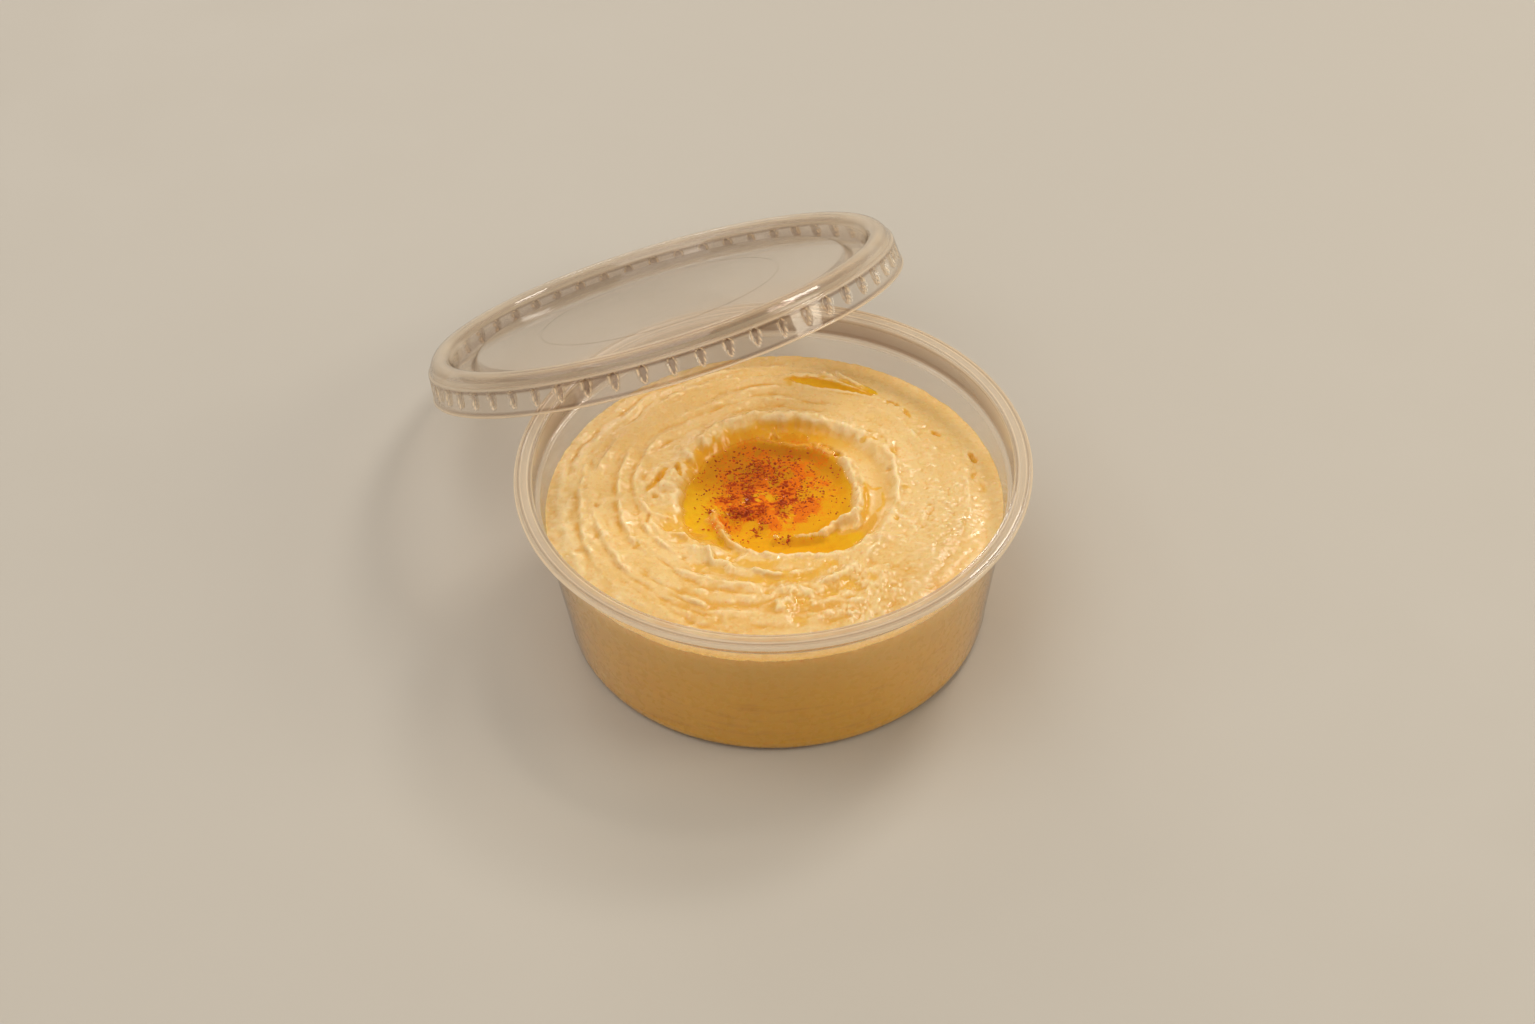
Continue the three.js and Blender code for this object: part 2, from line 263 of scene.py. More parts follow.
def near_path(x: Array, y: Array, path: Array, reach: float) -> Array:
    """Finds the places inside the path's box, widened by reach on every side.

    Args:
        x: First coordinates.
        y: Second coordinates.
        path: The path's points; the first two columns are x and y.
        reach: How far beyond the path counts.

    Returns:
        True at those places.
    """
    (left, front), (right, back) = path[:, :2].min(0) - reach, path[:, :2].max(0) + reach
    return (x > left) & (x < right) & (y > front) & (y < back)


# ------------------------------------------------------------------ meshes


def grid_faces(rows: int, columns: int, wrap: bool = False) -> Array:
    """Quads of a grid whose vertices run row by row.

    Args:
        rows: Number of rows.
        columns: Number of columns.
        wrap: True if the last column joins the first.

    Returns:
        One row of four vertex numbers for each quad.
    """
    number = np.arange(rows * columns).reshape(rows, columns)
    if wrap:
        number = np.hstack([number, number[:, :1]])
    a, b, c, d = number[:-1, :-1], number[:-1, 1:], number[1:, 1:], number[1:, :-1]
    return np.stack([a, b, c, d], -1).reshape(-1, 4)


def fan_faces(ring: Array, centre: int) -> Array:
    """Triangles from each edge of a closed ring to one vertex.

    Args:
        ring: The ring's vertex numbers, in order.
        centre: The number of the vertex in its middle.

    Returns:
        Four vertex numbers each; the last repeats the third.
    """
    after = np.roll(ring, -1)
    middle = np.full_like(ring, centre)
    return np.stack([ring, after, middle, middle], -1)


def icosahedron() -> tuple[Array, Array]:
    """An icosahedron of radius 1.

    Returns:
        Its 12 corners and its 20 triangles.
    """
    g = (1 + 5**0.5) / 2
    corners = (
        (-1, g, 0), (1, g, 0), (-1, -g, 0), (1, -g, 0), (0, -1, g), (0, 1, g), (0, -1, -g), (0, 1, -g),
        (g, 0, -1), (g, 0, 1), (-g, 0, -1), (-g, 0, 1),
    )
    triangles = (
        (0, 11, 5), (0, 5, 1), (0, 1, 7), (0, 7, 10), (0, 10, 11), (1, 5, 9), (5, 11, 4), (11, 10, 2),
        (10, 7, 6),
        (7, 1, 8), (3, 9, 4), (3, 4, 2), (3, 2, 6), (3, 6, 8), (3, 8, 9), (4, 9, 5), (2, 4, 11),
        (6, 2, 10), (8, 6, 7),
        (9, 8, 1),
    )
    return np.array(corners) / np.hypot(1, g), np.array(triangles)


def facing_out(vertices: Array, faces: Array) -> Array:
    """Turns all faces round if the closed mesh's signed volume is negative.

    Args:
        vertices: One row of x, y, z each.
        faces: Four vertex numbers each; a triangle repeats its last.

    Returns:
        The faces, pointing outwards.
    """
    a, b, c, d = (vertices[faces[:, i]] for i in range(4))
    volume = np.einsum("ij,ij->i", a, np.cross(b, c)).sum() + np.einsum("ij,ij->i", a, np.cross(c, d)).sum()
    return faces if volume > 0 else faces[:, ::-1][:, [1, 2, 3, 0]]


def make_piece(
    name: str,
    vertices: Array,
    faces: Array,
    material: bpy.types.Material,
    nodes: Sequence[str] = (),
    fields: Optional[dict[str, Array]] = None,
) -> bpy.types.Object:
    """Makes a closed mesh object from arrays, at the origin, and hangs it on the model.

    Args:
        name: The piece's name.
        vertices: Places in millimetres, one row each.
        faces: Four vertex numbers each; a triangle repeats a number.
        material: Its finish.
        nodes: The solids that the piece stands for.
        fields: Named numbers, one for each vertex, for the material.

    Returns:
        The object.
    """
    mesh = bpy.data.meshes.new(name)
    rows = [list(dict.fromkeys(row)) for row in facing_out(vertices, faces).tolist()]
    mesh.from_pydata((vertices * MM).tolist(), [], rows)
    mesh.polygons.foreach_set("use_smooth", np.ones(len(mesh.polygons), bool))
    for label, values in (fields or {}).items():
        attribute = mesh.attributes.new(label, "FLOAT", "POINT")
        attribute.data.foreach_set("value", np.ascontiguousarray(values, np.float32))
    mesh.materials.append(material)
    mesh.update()
    piece = bpy.data.objects.new(name, mesh)
    bpy.context.scene.collection.objects.link(piece)
    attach(piece, "root")
    if nodes:
        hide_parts(*nodes)
    LOG.info("%s: %d vertices, %d faces", name, len(mesh.vertices), len(mesh.polygons))
    return piece


def rounded(corners: Sequence[tuple[float, float, float]], steps: int = 5) -> Array:
    """Rounds a profile's corners: each becomes a parabola between points at its radius on both sides.

    Args:
        corners: x, y and radius of each corner; a corner of radius 0 and the two ends keep their place.
        steps: Points in each rounded corner.

    Returns:
        The profile's points.
    """
    most = 0.48  # of a side, so that the roundings of its two ends never meet
    p = np.array([c[:2] for c in corners], float)
    out = [p[:1]]
    t = np.linspace(0, 1, steps)[:, None]
    for before, here, after, (_, _, radius) in zip(p, p[1:], p[2:], corners[1:-1]):
        if radius == 0:
            out.append(here[None])
            continue
        back, ahead = before - here, after - here
        back_length, ahead_length = np.hypot(*back), np.hypot(*ahead)
        reach = min(radius, most * back_length, most * ahead_length)
        start, end = here + back / back_length * reach, here + ahead / ahead_length * reach
        out.append((1 - t) ** 2 * start + 2 * t * (1 - t) * here + t**2 * end)
    out.append(p[-1:])
    return np.vstack(out)


def turned(profile: Array, angle: Array) -> tuple[Array, Array]:
    """Turns a profile about +Z: point (r, z) at angle a goes to (r cos a, r sin a, z).

    Args:
        profile: Radius and height of each point, the first and last at radius 0.
        angle: The angles of the steps round the axis.

    Returns:
        Vertices (the rings one after another, then the two poles) and faces.
    """
    sides = len(angle)
    r, z = profile[1:-1, 0:1], profile[1:-1, 1:2]
    rings = np.stack([r * np.cos(angle), r * np.sin(angle), np.broadcast_to(z, (len(r), sides))], -1)
    poles = np.array([[0, 0, profile[0, 1]], [0, 0, profile[-1, 1]]])
    count = len(r) * sides
    first = fan_faces(np.arange(sides), count)[:, [1, 0, 2, 3]]
    last = fan_faces(np.arange(count - sides, count), count + 1)
    return np.vstack([rings.reshape(-1, 3), poles]), np.vstack([grid_faces(len(r), sides, True), first, last])


# ------------------------------------------------------------------ materials


COLOUR_MIX = {"data_type": "RGBA"}
SMOOTH_RANGE = {"interpolation_type": "SMOOTHSTEP"}


def add_node(
    tree: bpy.types.NodeTree,
    kind: str,
    values: Optional[dict[Any, Any]] = None,
    settings: Optional[dict[str, Any]] = None,
    output: Any = 0,
) -> Any:
    """Adds a node with its settings, its plain values and its links.

    Args:
        tree: The tree to add to.
        kind: The node's type name, without its first word ShaderNode.
        values: For each input name or number, a plain value or an output socket to link.
        settings: Properties of the node.
        output: Which output socket to hand back.

    Returns:
        The output socket, or None for a node without outputs.
    """
    node = tree.nodes.new(f"ShaderNode{kind}")
    for key, value in (settings or {}).items():
        setattr(node, key, value)
    for key, value in (values or {}).items():
        if isinstance(value, bpy.types.NodeSocket):
            tree.links.new(value, node.inputs[key])
        else:
            node.inputs[key].default_value = value
    return node.outputs[output] if len(node.outputs) else None


def new_material(name: str) -> tuple[bpy.types.Material, bpy.types.NodeTree]:
    """Makes an empty node material.

    Args:
        name: The material's name.

    Returns:
        The material and its tree.
    """
    material = bpy.data.materials.new(name)
    material.use_nodes = True
    material.node_tree.nodes.clear()
    return material, material.node_tree


def shell_gloss(tree: bpy.types.NodeTree, ior: float, normal: Any = None) -> Any:
    """Share of light that a clear face mirrors, the same from both of its sides.

    It is r + (1 - r) (1 - cos)^5 with r = ((ior - 1) / (ior + 1))^2. Light isn't bent at these faces, so a
    share that differs from within would make the shell dark.

    Args:
        tree: The tree to add to.
        ior: Index of refraction.
        normal: A bumped normal's socket, if any.

    Returns:
        The share's socket.
    """
    least = ((ior - 1) / (ior + 1)) ** 2
    values = {"Blend": 0.5} if normal is None else {"Blend": 0.5, "Normal": normal}
    facing = add_node(tree, "LayerWeight", values, None, "Facing")
    power = add_node(tree, "Math", {0: facing, 1: 5.0}, {"operation": "POWER"})
    return add_node(tree, "Math", {0: power, 1: 1 - least, 2: least}, {"operation": "MULTIPLY_ADD"})


@dataclass(frozen=True)
class HummusPaste:
    """Chickpea and tahini paste, blended and spooned smooth: a moist satin that light enters a little.

    The grain is ground chickpea of about 0.5 mm, and broad blotches of about 9 mm come from uneven mixing.
    Lengths are in millimetres.
    """

    grain: float = 0.55
    crumb: float = 2.1
    blotch: float = 9.0
    speck: float = 0.5
    streak_squeeze: tuple[float, float, float] = (60, 60, 420)
    streak_tilt: float = 0.5
    roughness: float = 0.3
    film_roughness: float = 0.15
    moist_roughness: float = 0.12
    sunk_roughness: float = 0.95
    ior: float = 1.45
    reflectance: float = 0.45
    bump_strength: float = 0.4
    bump_height: float = 0.12
    light_share: float = 0.5
    light_tint: tuple[float, float, float] = (1.0, 0.62, 0.28)
    light_depth: float = 1.1

    def material(self) -> bpy.types.Material:
        """Builds the material; the fields hold wetness, oil, stains, painted shade and painted highlights.

        Each layer is a tone laid over those before it, by a smooth share of a value between two marks.

        Returns:
            The material.
        """
        material, tree = new_material("hummus_paste_spooned")
        place = add_node(tree, "TexCoord", output="Object")
        oil_depth, film, stain, clump, painted_oil_shade, painted_crevice_shade, crest, side = (
            add_node(tree, "Attribute", None, {"attribute_name": label}, "Fac")
            for label in ("oil_depth", "film", "stain", "clump", "painted_oil_shade", "painted_crevice_shade", "crest", "side")
        )
        blotches, grains, crumbs, specks = (
            add_node(tree, "TexNoise", {"Vector": place, "Scale": 1 / (size * MM), "Detail": 3.0})
            for size in (self.blotch, self.grain, self.crumb, self.speck)
        )
        squeezed = {"Vector": place, "Rotation": (0.0, self.streak_tilt, 0.0), "Scale": self.streak_squeeze}
        lying = add_node(tree, "Mapping", squeezed)
        streaks = add_node(tree, "TexNoise", {"Vector": lying, "Scale": 1.6, "Detail": 4.0})
        side_streaks = add_node(tree, "Math", {0: streaks, 1: side}, {"operation": "MULTIPLY"})
        stained, clumped = (
            add_node(tree, "Math", {0: specks, 1: 1.2, 2: value}, {"operation": "MULTIPLY_ADD"})
            for value in (stain, clump)
        )
        layers = (  # value, low mark, high mark, most share, tone
            (blotches, 0.35, 0.65, 0.3, Tone.PASTE_PALE),
            (crumbs, 0.5, 0.72, 0.16, Tone.PASTE_DEEP),
            # painted highlight: high places painted paler
            (crest, 0.0, 1.0, 1.0, Tone.PASTE_PALE),
            # painted shade: low and steep places painted darker and more golden
            (painted_crevice_shade, 0.0, 1.0, 1.0, Tone.PAINTED_CREVICE_SHADE),
            (film, 0.0, 0.6, 1.0, Tone.WET_PASTE),
            (film, 0.5, 1.0, 1.0, Tone.OIL_FILM),
            # partly wet paste at the wall, partly painted shade on the side and under the rim
            (side, 0.0, 1.0, 1.0, Tone.PASTE_AT_WALL_AND_SHADE),
            (side_streaks, 0.52, 0.68, 0.55, Tone.WALL_SHADE),
            (oil_depth, 0.0, 0.35, 1.0, Tone.OIL_SHALLOW),
            (oil_depth, 0.1, 1.7, 1.0, Tone.OIL_DEEP),
            # painted shade of the oil at the back of the pool and in the split
            (painted_oil_shade, 0.0, 1.0, 1.0, Tone.OIL_PAINTED_SHADE),
            (stained, 0.64, 1.2, 1.0, Tone.PAPRIKA_STAIN),
            (clumped, 0.84, 1.24, 1.0, Tone.PAPRIKA_CLOUD),
        )
        colour = linear(Tone.PASTE)
        for value, low, high, most, tone in layers:
            span = {"Value": value, "From Min": low, "From Max": high, "To Min": 0.0, "To Max": most}
            share = add_node(tree, "MapRange", span, SMOOTH_RANGE)
            colour = add_node(tree, "Mix", {0: share, 6: colour, 7: linear(tone)}, COLOUR_MIX, 2)
        dry = {"To Min": self.roughness}
        wet = {"Value": film, "From Min": 0.15, "From Max": 0.9, **dry, "To Max": self.film_roughness}
        wet_rough = add_node(tree, "MapRange", wet, SMOOTH_RANGE)
        moist = {"Value": crumbs, "From Min": 0.5, "From Max": 0.66, **dry, "To Max": self.moist_roughness}
        moist_rough = add_node(tree, "MapRange", moist, SMOOTH_RANGE)
        bare_rough = add_node(tree, "Math", {0: wet_rough, 1: moist_rough}, {"operation": "MINIMUM"})
        sunk = {"Value": oil_depth, "From Max": 0.2, "To Max": self.sunk_roughness}
        sunk_rough = add_node(tree, "MapRange", sunk)
        rough = add_node(tree, "Math", {0: bare_rough, 1: sunk_rough}, {"operation": "MAXIMUM"})
        relief = {"Height": grains, "Strength": self.bump_strength, "Distance": self.bump_height * MM}
        values = {
            "Base Color": colour,
            "Roughness": rough,
            "IOR": self.ior,
            "Specular IOR Level": self.reflectance,
            "Normal": add_node(tree, "Bump", relief),
            "Subsurface Weight": self.light_share,
            "Subsurface Radius": self.light_tint,
            "Subsurface Scale": self.light_depth * MM,
        }
        shader = add_node(tree, "BsdfPrincipled", values)
        add_node(tree, "OutputMaterial", {"Surface": shader})
        return material


@dataclass(frozen=True)
class OliveOil:
    """Olive oil poured on and lying still: a clear golden liquid of IOR 1.47 with a mirror face."""

    ior: float = 1.47
    roughness: float = 0.02

    def material(self) -> bpy.types.Material:
        """Builds the material: the gloss lies over a clear tint, so lamps reach what is under the oil.

        Returns:
            The material.
        """
        material, tree = new_material("olive_oil_poured")
        clear = add_node(tree, "BsdfTransparent", {"Color": linear(Tone.OIL_TINT)})
        gloss = add_node(tree, "BsdfGlossy", {"Roughness": self.roughness})
        shader = add_node(tree, "MixShader", {0: shell_gloss(tree, self.ior), 1: clear, 2: gloss})
        add_node(tree, "OutputMaterial", {"Surface": shader})
        return material


@dataclass(frozen=True)
class PaprikaFlakes:
    """Ground sweet paprika soaked with oil: small rough flakes, brick red to nearly brown."""

    roughness: float = 0.45
    ior: float = 1.45
    reflectance: float = 0.2
    grit: float = 0.2
    grit_height: float = 0.05

    def material(self) -> bpy.types.Material:
        """Builds the material; each flake has one number that says how dark it is.

        Returns:
            The material.
        """
        material, tree = new_material("paprika_ground")
        dark = add_node(tree, "Attribute", None, {"attribute_name": "dark"}, "Fac")
        shades = {0: dark, 6: linear(Tone.FLAKE_BRIGHT), 7: linear(Tone.FLAKE_DARK)}
        colour = add_node(tree, "Mix", shades, COLOUR_MIX, 2)
        place = add_node(tree, "TexCoord", output="Object")
        grit = add_node(tree, "TexNoise", {"Vector": place, "Scale": 1 / (self.grit * MM)})
        bump = add_node(tree, "Bump", {"Height": grit, "Strength": 0.5, "Distance": self.grit_height * MM})
        values = {
            "Base Color": colour,
            "Roughness": self.roughness,
            "IOR": self.ior,
            "Specular IOR Level": self.reflectance,
            "Normal": bump,
        }
        shader = add_node(tree, "BsdfPrincipled", values)
        add_node(tree, "OutputMaterial", {"Surface": shader})
        return material


@dataclass(frozen=True)
class ClearPlastic:
    """Polypropylene sheet, thermoformed: clear, with a faint milkiness that thickens seen edge on."""

    name: str = "polypropylene_clear"
    ior: float = 1.49
    roughness: float = 0.05
    haze: float = 0.015
    edge_haze: float = 0.3
    hazy_from: float = 0.3
    dark_from: float = 0.78
    ripple: float = 7.0
    ripple_height: float = 0.2

    def material(self) -> bpy.types.Material:
        """Builds the material: sheet that darkens edge on, haze by the angle it is seen at, and gloss.

        Half of the haze lets light through from behind, as milky plastic does. The mesh's fields add
        milkiness along lips and lines, partly milky plastic and partly painted highlights, and paint dark
        lines where the sheet bends, a painted shade standing in for refraction.

        Returns:
            The material.
        """
        material, tree = new_material(self.name)
        place = add_node(tree, "TexCoord", output="Object")
        ripple = add_node(tree, "TexNoise", {"Vector": place, "Scale": 1 / (self.ripple * MM)})
        relief = {"Height": ripple, "Strength": 0.2, "Distance": self.ripple_height * MM}
        bump = add_node(tree, "Bump", relief)
        facing = add_node(tree, "LayerWeight", {"Blend": 0.5}, None, "Facing")
        seen = {"Value": facing, "From Min": self.hazy_from, "To Min": self.haze, "To Max": self.edge_haze}
        flat_milk = add_node(tree, "MapRange", seen, SMOOTH_RANGE)
        # milkiness of the sheet, partly a painted highlight along lips and lines
        thick = add_node(tree, "Attribute", None, {"attribute_name": "milk_and_highlight"}, "Fac")
        milk_and_highlight = add_node(tree, "Math", {0: flat_milk, 1: thick}, {"operation": "ADD", "use_clamp": True})
        edge = {"Value": facing, "From Min": self.dark_from}
        edge_share = add_node(tree, "MapRange", edge, SMOOTH_RANGE)
        # painted dark lines where the sheet bends, standing in for its refraction
        painted_bend_dark = add_node(tree, "Attribute", None, {"attribute_name": "painted_bend_dark"}, "Fac")
        dark_share = add_node(tree, "Math", {0: edge_share, 1: painted_bend_dark}, {"operation": "ADD", "use_clamp": True})
        tints = {0: dark_share, 6: linear(Tone.PLASTIC_SHEET), 7: linear(Tone.PLASTIC_EDGE)}
        tint = add_node(tree, "Mix", tints, COLOUR_MIX, 2)
        clear = add_node(tree, "BsdfTransparent", {"Color": tint})
        lit = add_node(tree, "BsdfDiffuse", {"Color": linear(Tone.PLASTIC_HAZE)})
        through = add_node(tree, "BsdfTranslucent", {"Color": linear(Tone.PLASTIC_HAZE)})
        haze = add_node(tree, "MixShader", {0: 0.5, 1: lit, 2: through})
        body = add_node(tree, "MixShader", {0: milk_and_highlight, 1: clear, 2: haze})
        gloss = add_node(tree, "BsdfGlossy", {"Roughness": self.roughness, "Normal": bump})
        shader = add_node(tree, "MixShader", {0: shell_gloss(tree, self.ior, bump), 1: body, 2: gloss})
        add_node(tree, "OutputMaterial", {"Surface": shader})
        return material


@dataclass(frozen=True)
class StudioFloor:
    """Pale painted board, matt, with a very faint mottle of its gloss."""

    mottle_scale: float = 30.0
    smoothest: float = 0.62
    roughest: float = 0.72

    def material(self) -> bpy.types.Material:
        """Builds the material.

        Returns:
            The material.
        """
        material, tree = new_material("floor_painted_board")
        place = add_node(tree, "TexCoord", output="Object")
        mottle = add_node(tree, "TexNoise", {"Vector": place, "Scale": self.mottle_scale})
        span = {"Value": mottle, "From Min": 0.3, "From Max": 0.7}
        rough = add_node(tree, "MapRange", {**span, "To Min": self.smoothest, "To Max": self.roughest})
        shader = add_node(tree, "BsdfPrincipled", {"Base Color": linear(Tone.FLOOR), "Roughness": rough})
        add_node(tree, "OutputMaterial", {"Surface": shader})
        return material


# ------------------------------------------------------------------ the hummus's surface


@dataclass(frozen=True)
class Stroke:
    """A spoon's ridge or groove: on its path (x, y, height) the surface takes the path's height, and beyond
    width it is left as it was."""

    width: float
    sharpness: float
    points: tuple[tuple[float, float, float], ...]


@dataclass(frozen=True)
class Fold:
    """A small fold, flap or crack: adds height on its path, fading over left and right on its two sides and
    towards its ends. At its end it is tip times as wide as at its start, and ragged says how uneven it is."""

    height: float
    left: float
    right: float
    points: tuple[tuple[float, float], ...]
    ragged: float = 0.25
    tip: float = 1.0


@dataclass(frozen=True)
class WetPatch:
    """A film of oil along a path, full within width."""

    strength: float
    width: float
    points: tuple[tuple[float, float], ...]


# width, sharpness and points of each stroke
STROKES = tuple(Stroke(*row) for row in (
    # groove swept from the pool's front, round the right, to the back
    (3.4, 3, ((-7, -11, 29.2), (1, -15, 29.0), (9, -15.4, 29.1), (16, -13.4, 29.6), (21.6, -8.5, 30.7),
              (24.2, -1, 31.0), (24.2, 7, 31.1), (20.6, 14.8, 31.2), (14, 20.3, 31.0), (6, 23.6, 30.8),
              (0, 23.8, 30.9))),
    # shallow shelf at the pool's left
    (4.4, 3, ((-16.6, 3, 30.0), (-17.4, -3, 30.15), (-17.0, -9.5, 30.35))),
    # crest round the back and the right
    (2.5, 2, ((-21.5, 12.5, 32.9), (-16, 20.5, 33.3), (-8.5, 26.4, 33.8), (0, 28.4, 33.7),
              (9, 27.2, 33.5), (17, 23.6, 33.1), (24, 18.2, 32.8), (28.4, 11, 32.6), (29.4, 3, 32.5),
              (28.4, -5, 32.5), (25.6, -12, 32.8), (20.5, -16.6, 33.0))),
    # scalloped crest along the front and the pool's front left
    (1.7, 2, ((20.5, -16.6, 32.8), (14, -19.6, 32.3), (6, -18.9, 32.1), (-1, -18.6, 32.0),
              (-7, -16.4, 31.6), (-10.4, -12.4, 31.1), (-12.4, -8.6, 30.75), (-13.4, -5.0, 30.5),
              (-13.2, -1.0, 30.2))),
    # inner lip that hooks round the pool's right side
    (0.9, 2, ((0.5, 21.8, 30.5), (2.2, 20.6, 30.7), (5, 19.8, 30.8), (9, 19.1, 30.85),
              (12.5, 17.8, 30.75), (15, 15.4, 30.6), (16.6, 13.2, 31.9), (17.9, 10.4, 31.8),
              (19.0, 6, 31.7), (19.6, 2, 31.8), (19.5, -2, 31.8), (18.8, -5.5, 32.1), (16.6, -7.4, 32.6),
              (14, -8.4, 32.2), (11.4, -10.4, 31.5), (7.5, -11.0, 31.1), (3.5, -10.8, 30.75),
              (0, -10.8, 30.2))),
    # lumpy bank at the pool's left
    (2.6, 2, ((-21.5, 12.5, 32.7), (-23.8, 6, 32.9), (-24.6, -0.6, 32.5), (-25.0, -5.4, 31.8),
              (-22.8, -10.4, 31.7), (-18.6, -14.8, 32.2))),
))

# x, y, radius and height of the low lumps and dips
LUMPS = (
    (3.2, -29.5, 2.6, 0.7), (5.4, -33.0, 2.4, 0.6), (1.5, -36.0, 2.4, 0.5), (16.2, -28.4, 2.3, -0.7),
    (11.8, -31.0, 1.8, -0.6), (18.4, -30.4, 1.5, -0.45), (5.6, -34.2, 1.6, -0.6), (1.5, -36.0, 1.2, -0.4),
    (4.6, -39.4, 1.9, -0.4), (-0.8, -26.4, 2.6, -0.6), (4.8, -25.8, 2.8, -0.6), (-10.0, -18.4, 2.2, -0.9),
    (-2.0, -30.8, 0.9, -0.4), (-17.2, -22.2, 1.8, -0.6), (-20.4, -18.6, 1.0, -0.5),
    (-20.0, -38.2, 1.6, -0.4), (-12.8, -38.6, 1.4, -0.3), (22.0, -27.0, 3.0, 0.6),
    (21.4, -27.0, 1.6, -0.45), (33.0, -18.0, 3.2, 0.5), (37.0, -2.0, 3.2, 0.4), (36.0, 22.0, 2.4, -0.4),
    (23.2, -16.0, 1.1, -0.4), (27.6, -8.4, 0.9, -0.45), (30.0, 1.8, 1.0, -0.35), (28.4, 15.0, 1.0, -0.6),
    (24.2, 18.6, 0.8, -0.5), (21.0, 19.2, 0.9, -0.5), (-31.2, -14.2, 0.8, -0.5), (28.0, 33.0, 0.8, -0.5),
    (29.8, 31.7, 0.7, -0.45), (32.0, 28.6, 0.9, -0.55), (38.5, 21.0, 1.0, -0.7), (27.0, 9.0, 0.7, -0.35),
    (-40.6, 0.2, 0.6, -0.4), (-31.6, -4.0, 0.5, -0.3), (-27.0, 2.6, 0.7, -0.4), (46.6, 12.6, 1.3, -0.7),
    (-13.8, -4.4, 1.5, 0.7), (-12.4, -6.8, 1.1, 0.7), (-12.6, -2.2, 1.0, 0.45), (-11.8, -9.4, 0.7, 0.6),
    (-9.4, 2.8, 1.0, 0.35), (-11.6, 1.0, 0.8, 0.4), (-12.4, -5.2, 0.8, 0.5), (-11.4, -7.6, 0.8, 0.5),
    (-10.4, -10.6, 0.8, 0.45), (-8.6, -13.2, 0.8, 0.4), (-13.0, -11.0, 0.9, 0.35), (18.0, -6.4, 1.0, 0.75),
    (15.6, -7.4, 0.9, 0.75), (13.2, -8.8, 0.8, 0.55), (19.0, -3.6, 0.6, 0.4), (19.8, 0.8, 0.6, 0.4),
    (19.0, 4.6, 0.6, 0.4), (18.3, 8.8, 0.7, 0.4), (16.8, 12.4, 0.7, 0.4), (9.6, -10.4, 0.6, 0.4),
    (5.6, -11.2, 0.6, 0.35),
)

